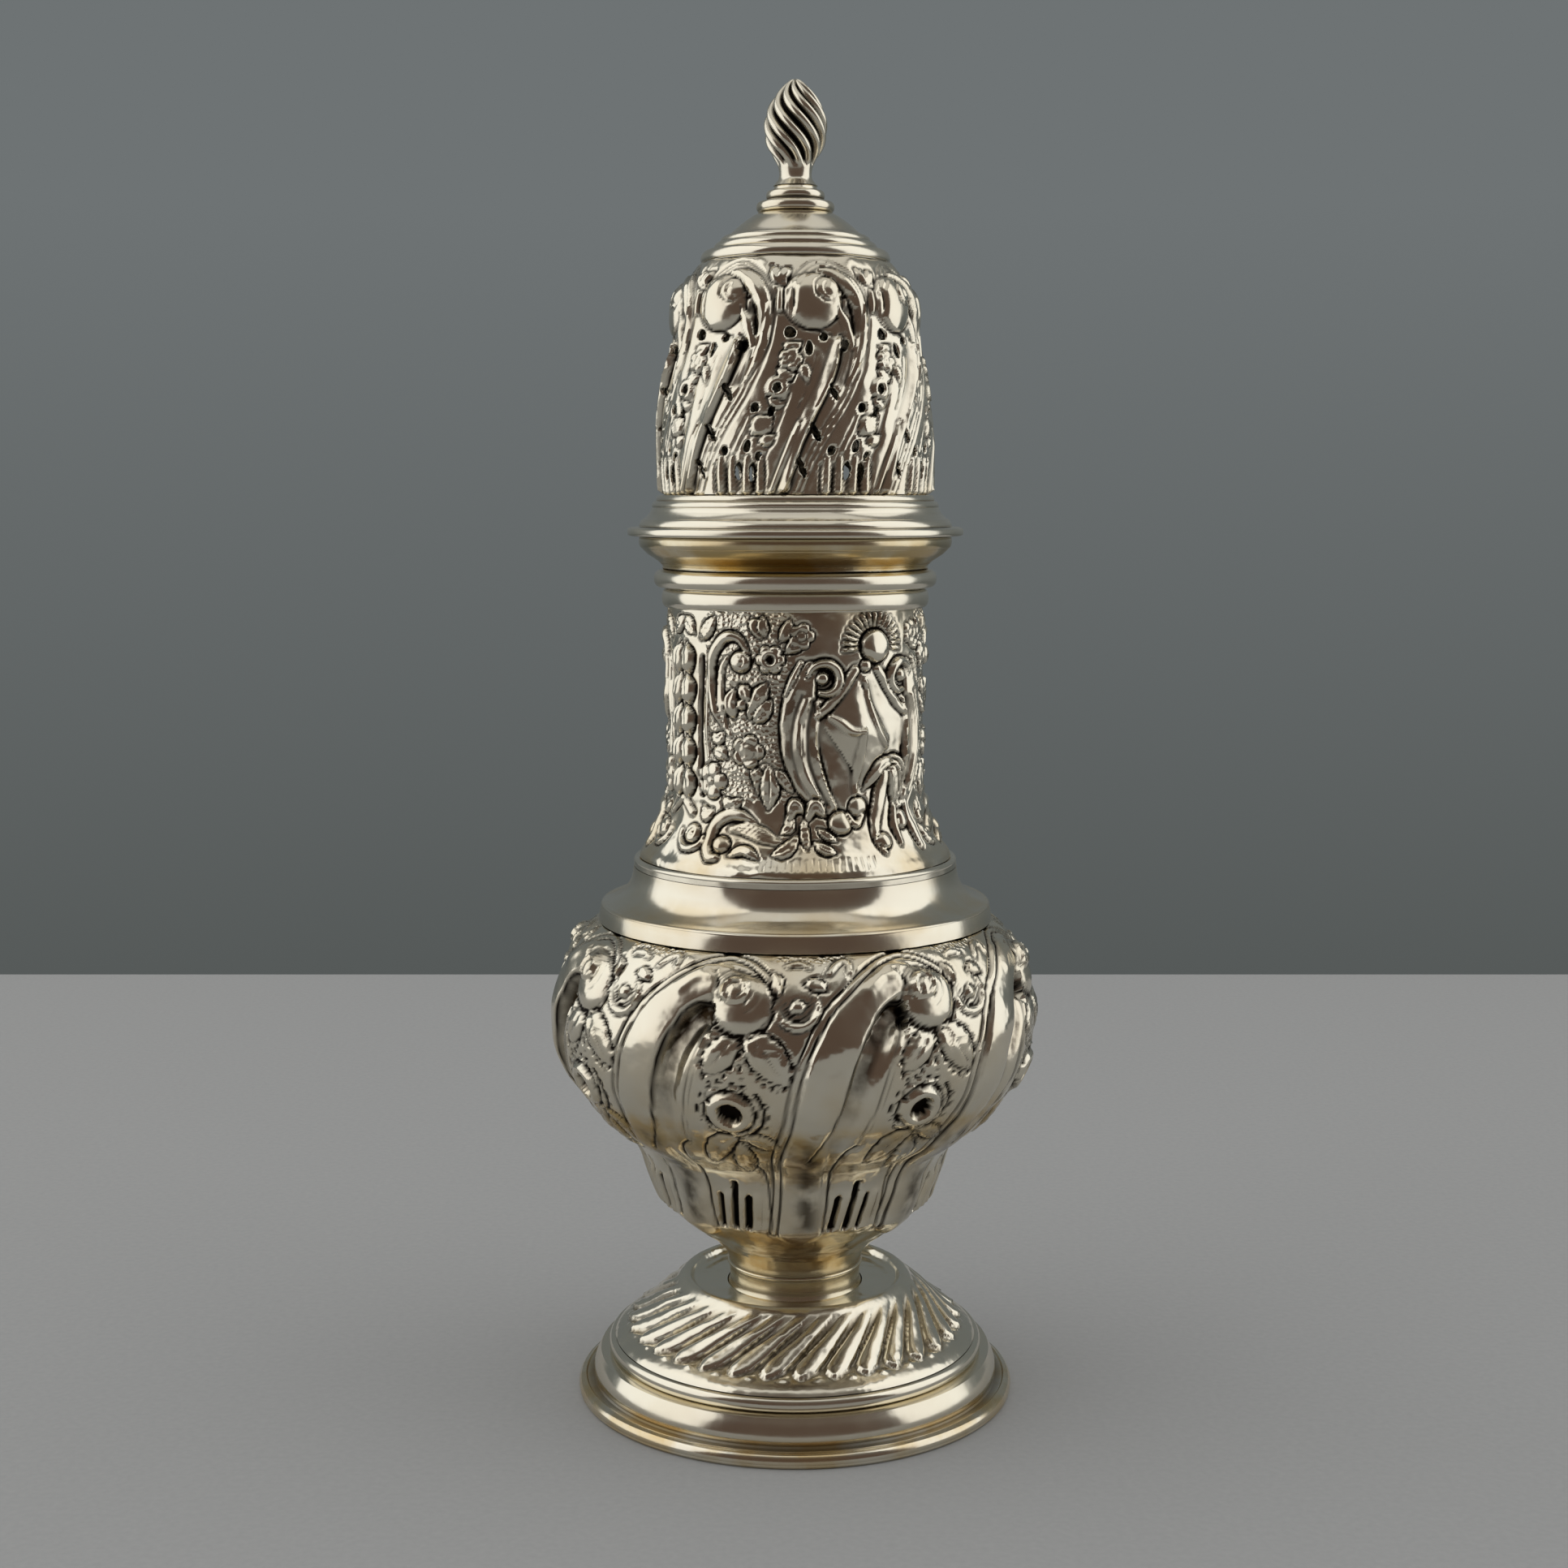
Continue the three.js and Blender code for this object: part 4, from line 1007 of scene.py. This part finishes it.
both(neck.leaf, [(-31, 101), (-34.6, 101.8), (-38.6, 102)], 1.1, 0.4)
both(neck.leaf, [(-33, 104.8), (-36, 103.8), (-39, 104.4)], 0.9, 0.35)
both(neck.leaf, [(-33, 95.4), (-29, 94.2), (-24, 95.2)], 1, 0.4)
both(neck.leaf, [(-44, 94), (-41, 92.6), (-37.6, 93.4)], 1, 0.4)
both(neck.leaf, [(-15, 118.6), (-17, 120.2), (-19.6, 121.6)], 1, 0.45, ribs=0)
both(neck.leaf, [(-13, 118.9), (-14.4, 120.6), (-14, 122)], 0.8, 0.4, ribs=0)
both(neck.leaf, [(-6.4, 118.2), (-4.2, 119.6), (-2.4, 121.4)], 0.9, 0.45, ribs=0)
both(neck.leaf, [(-4.4, 116.6), (-0.6, 117.6), (4.6, 118.6)], 1, 0.4, ribs=0)
both(neck.leaf, [(-46, 118.2), (-42, 119.6), (-37.6, 121.6)], 1.1, 0.45)
both(neck.leaf, [(-50, 119), (-54, 120.2), (-58, 121.4)], 1.1, 0.4)
both(neck.flower, (2.4, 119), 1.9, 5, 0.35, eye=0.4)
both(neck.flower, (-39.6, 97.6), 2.8, 5, 0.6, eye=0.24)
both(neck.flower, (-11, 115.6), 2.2, 6, 0.5, eye=0.42)
both(neck.ring, (-11, 115.6), 1.05, 0.45, 0.6, sunk=0.15)
both(neck.flower, (-21.2, 102.2), 2.5, 5, 0.5, eye=0.6)
for turn_from in (20, 140, 260):
    both(neck.line, neck.curl((-21.2, 102.2), 1.3, 1.1, turn_from, turn_from + 90), 0.26, 0.3)
both(neck.boss, (-24, 109), 0.8, 0.35)
neck.report("neck with flowers")

# %% Neck scrolls and husks
SCROLL_EYE = (-24.2, 115.2)
both(neck.strap, [(-29.2, 104.4), (-34, 106.6), (-38.4, 109.4), (-39.8, 112.8), (-38.2, 115.8),
                  (-34.2, 118), (-28.6, 118.9), (-23.8, 118.1), (-21.2, 116.4)],
     [0.3, 0.6, 0.75, 0.8, 0.85, 0.85, 0.8, 0.6, 0.4], 0.75)
both(neck.strap, [(-31.4, 105.2), (-33.6, 108), (-34.4, 111.4), (-33, 114.4), (-31, 115.6)],
     [0.3, 0.55, 0.6, 0.5, 0.35], 0.4, hollow=0.4)
both(neck.boss, SCROLL_EYE, 1.6, 0.85)
both(neck.line, neck.curl(SCROLL_EYE, 0.9, 0.5, 170, -60), 0.26, 0.25)
both(neck.strap, [(-17.4, 91.9), (-24, 92.9), (-30.6, 92.6), (-35.8, 90.8), (-37, 88.4),
                  (-34.6, 86.9), (-31.4, 86.8)], [0.4, 0.8, 0.95, 1, 0.9, 0.6], 0.65)
both(neck.boss, (-30.4, 88.7), 1.35, 0.8)
both(neck.strap, [(-27, 90.9), (-21, 91), (-14, 90.3), (-6.6, 89.2)],
     [0.5, 1.1, 1.2, 0.5], 0.45, ribs=4)
both(neck.leaf, [(-26.6, 87.3), (-20.4, 88.1), (-14, 87)], 0.8, 0.5, ribs=0, nicks=2)
both(neck.leaf, [(-9, 87.6), (-3.4, 88.4), (1, 90.4)], 1, 0.35)
both(neck.leaf, [(-6, 90.6), (-2.4, 91.8), (-3.4, 94)], 0.8, 0.35)
both(neck.boss, (-46.4, 89.8), 1.5, 0.6)
both(neck.line, neck.curl((-46.4, 89.8), 0.8, 0.4, 200, -90), 0.25, 0.25)
both(neck.strap, neck.curl((-46.4, 89.8), 2.6, 2.4, 175, 350), [0.4, 0.6, 0.6, 0.4], 0.45)
both(neck.strap, [(-50, 92.6), (-54, 93.8), (-58, 94.6)], [0.6, 0.7, 0.5], 0.4)
both(neck.strap, [(-40.8, 115), (-41.6, 110), (-41.6, 104), (-41, 100.6)],
     [0.35, 0.4, 0.3], 0.25, edge=0.1)
both(neck.line, [(-44.6, 95.4), (-45.6, 100), (-45.8, 108), (-44.4, 115.6)], 0.6, 0.5)
for level in (115.2, 110.7, 106.2, 101.5, 96.9):
    both(neck.leaf, [(-55.8, level + 2.3), (-54.2, level), (-53.6, level - 2.4)], 1.5, 1,
         nicks=1, ribs=0)
neck.report("neck with scrolls and husks")

# %% Neck shield
# The blank shield is a four-pointed star that leans a little to the left.
STAR = (28.5, 105)
STAR_HALF_WIDTH = 5.6           # mm
STAR_ABOVE = 8.6                # mm from its middle to its upper point
STAR_BELOW = 9.8
STAR_POWER = 0.85               # below 1, its four sides are hollow
STAR_HEIGHT = 2.1               # mm at its middle, before the edges are softened
across = neck.wrapped(neck.angle - STAR[0]) * neck.degree
up = neck.z - STAR[1]
turned_up = up + across * 0.2
turned_across = across + up * 0.12
u = np.hypot(turned_across / STAR_HALF_WIDTH, 0.07) - 0.03
v = np.hypot(turned_up / np.where(turned_up > 0, STAR_ABOVE, STAR_BELOW), 0.05) - 0.02
star = np.clip(1 - (u**STAR_POWER + v**STAR_POWER) ** (1 / STAR_POWER), 0, 1)
neck.lay(STAR_HEIGHT * blurred(star, 7, 2), (star > 0) & (np.abs(across) < 8))
neck.ridge([(31, 112.4), (33.4, 108.6), (37.4, 105.2), (42.6, 102.6)], 0.8, 0.55, taper=0.5)
neck.ridge([(28.5, 105.6), (28, 102.4), (26.6, 98.8), (26, 95.8)], 0.8, 0.5, taper=0.5)
neck.ridge([(28, 105.2), (23.6, 105.2), (18.6, 106.6), (14.4, 107.4)], 0.75, 0.45, taper=0.5)
both(neck.strap, [(9.6, 107.6), (14.6, 109), (20.4, 111.4), (26.2, 114)],
     [0.6, 0.75, 0.8, 0.7], 0.55, edge=0.12)

both(neck.strap, [(6.4, 114.2), (2.2, 111), (0.8, 107.2), (1.4, 103), (4.8, 99),
                  (10, 95.6), (15.6, 93.6)], [1.2, 2.2, 2.6, 2.6, 2.3, 1.7, 0.8], 0.7, edge=0.22)
both(neck.line, [(2.6, 110.6), (-1.2, 106.6), (-1.8, 102.6), (1, 98.8), (6.4, 95.6)], 0.4, 0.24)
both(neck.line, [(7.4, 109.6), (5.2, 106), (5.2, 102), (8.4, 98), (13.4, 94.6)], 0.5, 0.3)
both(neck.ridge, [(4.8, 109.9), (1.6, 106.3), (1.1, 103), (3.9, 99.4), (9.2, 95.9)], 0.5, 0.32)
both(neck.ridge, [(9.4, 109.4), (8.6, 105.3), (9.6, 101.3), (12.4, 97.7), (17, 94.1)], 0.5,
     0.5)
both(neck.strap, [(2.2, 115.2), (-1.2, 113), (-4.6, 110.4)], [0.35, 0.5, 0.3], 0.5)
VOLUTE = (12.4, 112.7)
both(neck.strap, neck.curl(VOLUTE, 2.5, 2, 165, -110, 16), [0.4, 0.6, 0.7, 0.7, 0.6, 0.4], 0.85)
both(neck.boss, (11.4, 112.9), 0.95, 0.6)

PEARL = (36.4, 117.4)
NECK_DEGREE = 0.34              # mm that one degree is on the neck
neck.boss(PEARL, 2.45, 1.2, edge=0.3)
neck.boss((31.4, 114.6), 0.9, 0.6)
for ray in range(17):
    tilt = math.radians(-96 + ray * 12)
    start = (PEARL[0] + math.sin(tilt) * 3.1 / NECK_DEGREE, PEARL[1] + math.cos(tilt) * 3)
    end = (PEARL[0] + math.sin(tilt) * 5.3 / NECK_DEGREE,
           min(PEARL[1] + math.cos(tilt) * 4.9, 122.1))
    middle = ((start[0] + end[0]) / 2, (start[1] + end[1]) / 2)
    neck.strap([start, middle, end], [0.22, 0.36, 0.3], 0.4, edge=0.14)
neck.report("neck with its shield")

# %% Neck plumes and fruit
for tip in ((55.6, 96), (51.4, 94.4), (47, 93.2)):
    neck.leaf([(40.6, 99.6), ((40.6 + tip[0]) / 2 + 2.6, (99.6 + tip[1]) / 2 + 2), tip], 1.05,
              0.85, nicks=2, ribs=0, vein=0.2)
neck.leaf([(30.6, 96.4), (38, 99.4), (47.4, 100.8)], 1.1, 0.9, nicks=3, ribs=0.03)
neck.strap([(41.4, 98.6), (38.6, 95.4), (35.6, 92.4), (34.2, 89.6), (36.2, 87.4)],
           [0.8, 1.1, 1, 0.8, 0.5], 0.9, hollow=0.15)
neck.boss((37.4, 89), 1.3, 0.85)
neck.boss((49.8, 91.7), 1.5, 0.7)
neck.strap([(46.6, 93.6), (45.2, 91), (46.4, 88.4)], [0.5, 0.7, 0.4], 0.6)
neck.strap([(55, 93.8), (55.8, 90.6), (58.4, 87.6)], [0.6, 0.9, 0.6], 0.6)
neck.boss((18.8, 91.9), 1.8, 0.95)
neck.boss((27.4, 94), 1.5, 0.6)
neck.strap([(22.4, 93), (25.4, 91.6), (29.4, 92.8)], [0.4, 0.6, 0.4], 0.55)
neck.leaf([(4.8, 92.2), (7.6, 94.4), (12.6, 92.8)], 1, 0.75, ribs=0, nicks=1)
neck.leaf([(-2.6, 92.2), (-0.8, 94.4), (3.2, 93.4)], 1, 0.75, ribs=0, nicks=1)
neck.leaf([(3.4, 92.6), (3.6, 90.6), (4.6, 88.4)], 0.7, 0.45)
neck.leaf([(7.4, 89.4), (11, 88.4), (15.4, 87.8)], 0.8, 0.6, ribs=0, nicks=2)
neck.leaf([(9, 91.2), (12.6, 90.2), (16.4, 89.4)], 0.6, 0.45)
for dash in np.arange(-12, 32, 2.6):
    neck.line([(dash, 85.5), (dash + 0.3, 86.3), (dash + 0.6, 87)], 0.2, 0.14)
for level in (96.5, 100, 103.5, 107, 110.5, 114, 117.5, 121):
    both(neck.mat, [(-38, level), (-22, level), (-5, level)], 2)
# Brown is painted down the middle of the neck's front and back, from 96 mm up.
neck.stained = 0.35 * eased((neck.z - 96) / 6) * np.exp(
    -(neck.wrapped(neck.angle + 4) / 16) ** 2)

NECK_THICKNESS = 1.0            # mm
NECK_TONES = [(84, 0.5), (88, 0.3), (94, 0.05), (118, 0.05), (122.5, 0.35)]
sheet_piece("chased_neck", "neck", neck, NECK_THICKNESS, NECK_TONES, inner_step=10,
            mouth=outline((19.3, 122.6), (19.3, 132.9), (18.4, 132.9), (18.4, 122.6)))

# %% [markdown]
# ## Cover dome
# The dome is swirled like the bowl and pierced, so that the sugar runs out. Each of its eight
# repeats has a crook with a curl in its head, a long bright flute, a spray of flowers, and fifteen
# small holes that were drilled and filed from the outside. The sheet gets its thickness last, so
# every hole has a real wall.

# %% Dome sheet
DOME_ROWS = 108
DOME_COLUMNS = 56               # for one of eight repeats, so a point about every 0.3 mm
DOME_LEAN = [(139.2, -8), (145, -1.5), (150.5, 5), (154.5, 10.9), (160.5, 18),
             (165, 20), (173.2, 20)]
dome_outline = flowing([
    (20.05, 139.25), (20.15, 141.5), (20.3, 144.5), (20.3, 147), (20.1, 150), (19.95, 153),
    (19.6, 156), (19, 159), (18.5, 161.5), (18.2, 164), (17.9, 166.5), (17.5, 168.3),
    (16.8, 169.8), (15.7, 171.3), (14.7, 172.6), (14.2, 173.1)], 500)
dome = Sheet(even(dome_outline, DOME_ROWS), DOME_COLUMNS, EIGHTH, DOME_LEAN)

CROOK = [(-3.8, 165.3), (-3, 168), (0.7, 169.6), (7, 171.3), (15.3, 171.9), (22.5, 171),
         (29, 169.4), (32.5, 167.2), (33.4, 164.7), (31.6, 161.3), (28.9, 158.1), (24.4, 154.7),
         (19.8, 151.9), (14.4, 149.1), (8.9, 145.9), (4.4, 142.8), (0.7, 139.7)]
OUTER_ARM = [(12, 170.6), (20, 170), (26.4, 168.4), (30.2, 165.6), (30.6, 162.2),
             (27, 158), (22.4, 155)]
FLUTE = [(18.4, 160.8), (15.4, 157.6), (11, 154.2), (5, 150.2), (-1, 145.4), (-5.4, 140.2)]
HEAD = (7.6, 166.6)
HEAD_CURL = (15.6, 168.2)

dome.form += uneven(dome, 7, 0.06)
dome.report("plain dome")

# %% Dome crook
dome.strap(OUTER_ARM, [0.7, 1.2, 1.35, 1.3, 1.1, 0.8, 0.3], 0.7, edge=0.16)
dome.boss(HEAD, 4.3, 0.95, edge=0.2, stretch=0.98, flat=2.6, power=0.8)
dome.raised += 0.3 * hump(dome.polar(HEAD_CURL)[0] / 2.2)
dome.line(dome.curl(HEAD_CURL, 2.2, 0.7, 215, -230, 22), 0.27, 0.3)
dome.line([(9.4, 167.4), (12, 166.6), (15.4, 166.4), (18.6, 167)], 0.3, 0.3)
dome.line([(18.6, 167.6), (21.6, 166.8), (24.8, 167.4), (27.6, 166.4)], 0.3, 0.26)
dome.line([(-2.2, 164.4), (3.5, 162.7), (10.7, 162.2), (16, 161.6)], 0.3, 0.26)
# Painted shade: a shallow hollow right of the curl, with brown painted along its middle.
far = dome.near([(24.6, 165.4), (27.6, 164.4), (27.4, 162.6)], 3)[0]
dome.form -= 0.3 * hump(far / 1.1)
dome.stained = 0.5 * hump(far)
dome.strap([(20, 165.4), (22.4, 163.6), (24.6, 161.8), (25.4, 159.8)], [0.4, 0.7, 0.7, 0.3],
           0.4, edge=0)
far = dome.near([(21.6, 159.6), (18.6, 155.2)], 3)[0]
dome.form -= 0.3 * hump(far / 1.3)
for offset in (-0.75, 0, 0.75):
    dome.line(CROOK, 0.3, 0.2, offset=offset)
dome.line([(24.8, 150), (21, 147.6), (17.5, 145.3)], 0.24, 0.18)
dome.line([(27, 149.6), (23.6, 147.4), (20.5, 145.3)], 0.24, 0.18)
dome.report("dome with its crook")

# %% Dome flute and spray
far = dome.near([(7, 158.4), (2, 152.4), (-5, 146), (-9.4, 140)], 4)[0]
dome.form += 0.25 * hump(far / 1.8)
far, share, side = dome.near(FLUTE, 4)
half = np.interp(share, [0, 0.15, 0.8, 1], [0.7, 1.05, 1.1, 0.9])
across = 0.5 - 0.5 * far * side / half      # 0 at its left edge and 1 at its right edge
dome.lay(0.95 * np.interp(across, [0, 0.72, 1], [0, 1, 0]), far < half)
dome.line(FLUTE, 0.3, 0.2, offset=-1.1)
dome.strap([(1.4, 149.4), (-2.6, 146), (-6.4, 142.8), (-9.8, 139.8)], [0.3, 0.42, 0.42, 0.4],
           0.42, edge=0.12)
dome.line([(-2.6, 153.4), (-7, 149.4), (-12.4, 144.6), (-15.8, 139.8)], 0.24, 0.18)
dome.line([(9, 158.8), (5, 154.8), (1, 151.4)], 0.24, 0.18)
dome.leaf([(2.4, 160.6), (-1, 159.9), (-5.4, 160.3)], 0.75, 0.4, ribs=0)
dome.leaf([(-0.6, 156.4), (-4, 155.9), (-7.6, 157)], 0.85, 0.4, ribs=0)
dome.leaf([(1, 157.4), (3.6, 156.6), (4.8, 154.9)], 0.7, 0.35, ribs=0)
dome.flower((-2.4, 158.2), 1.75, 5, 0.55, eye=0.34)
dome.ring((-7.6, 154.2), 1.05, 0.5, 0.5)
dome.leaf([(-4.6, 152), (-8, 151.9), (-11.6, 152.8)], 0.6, 0.35, ribs=0)
dome.leaf([(-10, 150), (-13.8, 149), (-18.2, 147.9)], 1.45, 0.55, vein=0, nicks=1, ribs=0)
for stripe in (-12.2, -14.2, -16.2):
    dome.line([(stripe - 0.8, 150), (stripe + 1, 149), (stripe + 2.4, 147.6)], 0.2, 0.2)
dome.leaf([(-8.6, 147.6), (-11.6, 146.9), (-15, 146.7)], 0.8, 0.4, ribs=0)
dome.leaf([(-12.6, 171.4), (-8.6, 170), (-4.6, 168.8)], 1, 0.5, nicks=1, ribs=0)
dome.leaf([(-2.8, 171.2), (-5.6, 170.4), (-8.2, 169)], 0.75, 0.5, nicks=1, ribs=0)
for upright in (-7.6, -2.4):
    dome.strap([(upright, 165.2), (upright + 0.2, 166.6), (upright + 0.3, 168)],
               [0.4, 0.55, 0.4], 0.45)
for upright in (12.2, 17.6, 24.2, 30):
    dome.strap([(upright, 139.7), (upright + 0.2, 142.2), (upright + 0.6, 144.4)],
               [0.6, 0.65, 0.35], 0.32, edge=0.2)
for upright in (9.4, 15, 21, 27.2):
    dome.line([(upright, 139.7), (upright + 0.2, 141.6), (upright + 0.4, 143.4)], 0.3, 0.3)

dome.report("whole dome")

# %% Holes
# Angle and height of the centre, half width, half length, and lean to the right in degrees.
HOLES = [(-2.5, 162, 0.9, 0.9, 0), (5.6, 159.8, 0.6, 1.15, 0), (12.2, 161.4, 0.7, 0.6, 0),
         (21.4, 160.2, 0.7, 0.85, 15), (-7.6, 154.2, 0.58, 0.58, 0), (15.8, 153.6, 0.55, 1.4, -28),
         (-17, 151.4, 0.7, 0.8, 10), (-10.2, 150.9, 0.5, 0.8, 10), (8, 147.9, 0.55, 1.5, -25),
         (-20.2, 146, 0.62, 1, 15), (-15.2, 144.6, 0.55, 0.7, 20), (14.6, 145.4, 0.7, 0.7, 0),
         (-24, 142.6, 0.5, 1.4, 5), (-17.8, 142.2, 0.5, 1.5, 5), (2.6, 142.8, 0.5, 1.7, -20)]
print("holes for each repeat:", len(HOLES))


# %% Dome mesh
DOME_THICKNESS = 0.7            # mm
SKIRT = outline((19.15, 134.5), (19.15, 137), (19.15, 139))     # plain wall inside the moulding


def pierced_dome():
    """The dome's outer skin with its holes, then Solidify for the thickness of the sheet."""
    relief, stained, matted, degree, along = all_round(
        dome, dome.relief(), dome.stained, dome.matted, dome.degree, dome.up)
    turns = around(relief.shape[1])
    angles = turns + dome.lean[:, None]
    faces = skin(relief, closed=False)
    gone = np.zeros(len(faces), bool)
    for start in np.arange(REPEATS) * EIGHTH:
        for centre, level, wide, tall, lean in HOLES:
            across = ((angles - centre - start + 180) % 360 - 180) * degree
            up = along - np.interp(level, dome.section[:, 1], dome.along)
            tilt = math.radians(lean)
            away = np.hypot((across * math.cos(tilt) - up * math.sin(tilt)) / wide,
                            (across * math.sin(tilt) + up * math.cos(tilt)) / tall)
            inside = away.ravel()[faces].mean(axis=1) < 1
            gone |= inside
            # The points on the cut's edge move onto the hole's outline.
            rim = np.intersect1d(faces[inside], faces[~inside])
            push = np.zeros(relief.size)
            push[rim] = 1 / np.maximum(away.ravel()[rim], 0.05) - 1
            push = push.reshape(relief.shape)
            angles = angles + push * across / degree
            along = along + push * up
    outside = placed(dome.section, relief, angles, along)
    lower = placed(SKIRT, np.zeros((len(SKIRT), len(turns))), turns + dome.lean[0])
    deep = np.clip(tarnish(relief, 1, 0.26) * 0.8 + tarnish(relief, 3, 1.2) * 0.4, 0, 1)
    tone = tone_at(outside[:, :, 2], [(139, 0.25), (145, 0.0), (173, 0.1)])
    painted = layers((deep, tone, stained, matted), before=len(SKIRT))
    points = held(np.concatenate([lower, outside]), "cover_dome")
    faces = skin(points, closed=False)[np.append(np.ones(lower.size // 3, bool), ~gone)]
    used, packed = np.unique(faces, return_inverse=True)
    painted = {label: values.ravel()[used] for label, values in painted.items()}
    piece = make_piece("pierced_dome", points.reshape(-1, 3)[used], packed.reshape(-1, 4), "cover",
                       chased_silver, "cover_dome", SHEET_CRISP, painted)
    wall = piece.modifiers.new("sheet thickness", "SOLIDIFY")
    wall.thickness = DOME_THICKNESS * MM
    wall.offset = -1
    print("holes in the dome:", len(HOLES) * REPEATS)


pierced_dome()

# %% [markdown]
# ## Foot dome
# The raised foot is gadrooned: 32 rounded lobes that swirl as they rise and thin out to the top,
# each with a full, round lower end and a small pip between two ends. They are pushed up from
# behind, with a plain band below and a dished top inside.

# %% Foot gadroons
GADROONS = 32
FOOT_COLUMNS = 20               # for one gadroon
GADROON_SWIRL = 25.0            # degrees from the lower end to the top
GADROON_LEVELS = (10.3, 17.4)   # mm, of both ends
GADROON_HEIGHT = 0.85           # mm
GROOVE_DEPTH = 0.4              # mm between two gadroons
PIP_HEIGHT = 0.28               # mm
foot_outline = flowing([
    (28.25, 8.65), (27.9, 9.15), (27.1, 9.75), (26.1, 10.25), (25.0, 10.8), (23.9, 11.5),
    (22.7, 12.45), (21.5, 13.6), (20.4, 14.8), (19.4, 16.0), (18.5, 17.0), (17.8, 17.7),
    (17.2, 18.05), (16.7, 18.05), (16.3, 17.7), (16.0, 17.1), (15.6, 16.75), (14.0, 16.6),
    (12.0, 16.6), (10.6, 16.65)], 300)
foot_section = even(foot_outline, 74)
foot_along = run_along(foot_section)
foot_slope = foot_section[:45, 1]
foot_ends = [foot_along[np.argmin(np.abs(foot_slope - level))] for level in GADROON_LEVELS]
rise = np.interp(foot_along, foot_ends, [0, 1])
from_end = foot_along - foot_along[rise > 0][0]
foot_turn = around(GADROONS * FOOT_COLUMNS)
swirl = GADROON_SWIRL * rise[:, None] ** 1.5
within = (foot_turn - swirl + 4.0) / (360 / GADROONS) % 1 - 0.5
wide = np.interp(from_end, [-0.2, 0.35, 1.2, 2.6], [0, 0.45, 0.8, 1])
wide = wide * np.interp(rise, [0, 0.5, 1], [1, 0.92, 0.6])
lobe = np.sqrt(hump(within / (0.45 * np.maximum(wide[:, None], 0.02))))
full = np.interp(rise, [0, 0.2, 0.5, 1], [0.7, 0.95, 0.85, 0.5])
full = full * np.interp(rise, [0, 0.03, 0.7, 1], [0, 1, 1, 0])
foot_relief = GADROON_HEIGHT * lobe * full[:, None]
sunk = np.interp(rise, [0, 0.28, 0.7, 1], [0, 1, 1, 0])[:, None]
foot_relief -= GROOVE_DEPTH * sunk * (1 - np.clip(lobe * 3, 0, 1))
between = (0.5 - np.abs(within)) / 0.14
foot_relief += PIP_HEIGHT * np.exp(-between**2 - ((from_end + 0.1) / 0.45)[:, None] ** 2)
foot_inside = swept(outline((10.7, 15.3), (14.6, 15.3), (17.0, 15.6), (20.4, 12.2), (23.6, 9.2),
                            (27.9, 8.65)), len(foot_turn))
foot_points = np.concatenate([placed(foot_section, foot_relief, foot_turn), foot_inside])
foot_points[:, :, 2] = np.clip(foot_points[:, :, 2], 8.62, 18.1)
foot_deep = np.clip(tarnish(foot_relief, 1, 0.25) * 0.6, 0, 1)
make_piece("gadrooned_foot", foot_points, skin(foot_points), "body", chased_silver,
           "foot_dome", SHEET_CRISP, layers((foot_deep, foot_deep * 0.7), after=len(foot_inside)))

# %% [markdown]
# ## Finial
# A cast bud on a slim stalk, with ten ridges that wind up to the left. The hollows between them are
# deep and stay black, so the ridges read as bright bars.

# %% Twisted bud
BUD_RIDGES = 10
BUD_TWIST = -150.0              # degrees from the bud's foot to its tip
BUD_ENDS = (184.55, 199.98)     # mm, where both ends close
BUD_COLUMNS = 240
BUD_RIDGE = 0.38                # half a ridge's width, as a share of the step between two
bud_outline = flowing([
    (3.3, 184.55), (3.0, 184.9), (2.5, 185.6), (2.45, 186.6), (2.7, 187.6), (3.3, 188.6),
    (4.05, 189.8), (4.55, 191.2), (4.72, 192.8), (4.6, 194.3), (4.2, 195.6), (3.5, 196.9),
    (2.6, 198.1), (1.5, 199.2), (0.7, 199.8), (0.05, 199.97)], 300)
bud_section = even(bud_outline, 96)
bud_turn = around(BUD_COLUMNS)
bud_share = np.interp(bud_section[:, 1:], [187.4, 200], [0, 1])
bud_phase = (bud_turn - bud_share * BUD_TWIST) * BUD_RIDGES / 360 % 1 - 0.5
bud_ridge = np.sqrt(hump(bud_phase / BUD_RIDGE))
bud_depth = np.interp(bud_section[:, 1:], [187.2, 188.6, 193, 198, 200], [0, 0.8, 1.2, 0.8, 0.2])
bud_relief = -(1 - bud_ridge) * np.minimum(bud_depth, bud_section[:, :1] * 0.34)
foot_point, tip_point = ([np.tile([0, 0, level], (len(bud_turn), 1))] for level in BUD_ENDS)
bud_points = np.concatenate([foot_point, placed(bud_section, bud_relief, bud_turn), tip_point])
bud_deep = np.clip((1 - bud_ridge - 0.3) * 2.5, 0, 1) * np.clip(bud_depth * 2, 0, 1)
make_piece("twisted_bud", bud_points, skin(bud_points, closed=False), "cover",
           polished_silver, "finial", SHEET_CRISP, layers((bud_deep,), before=1, after=1))

# %% [markdown]
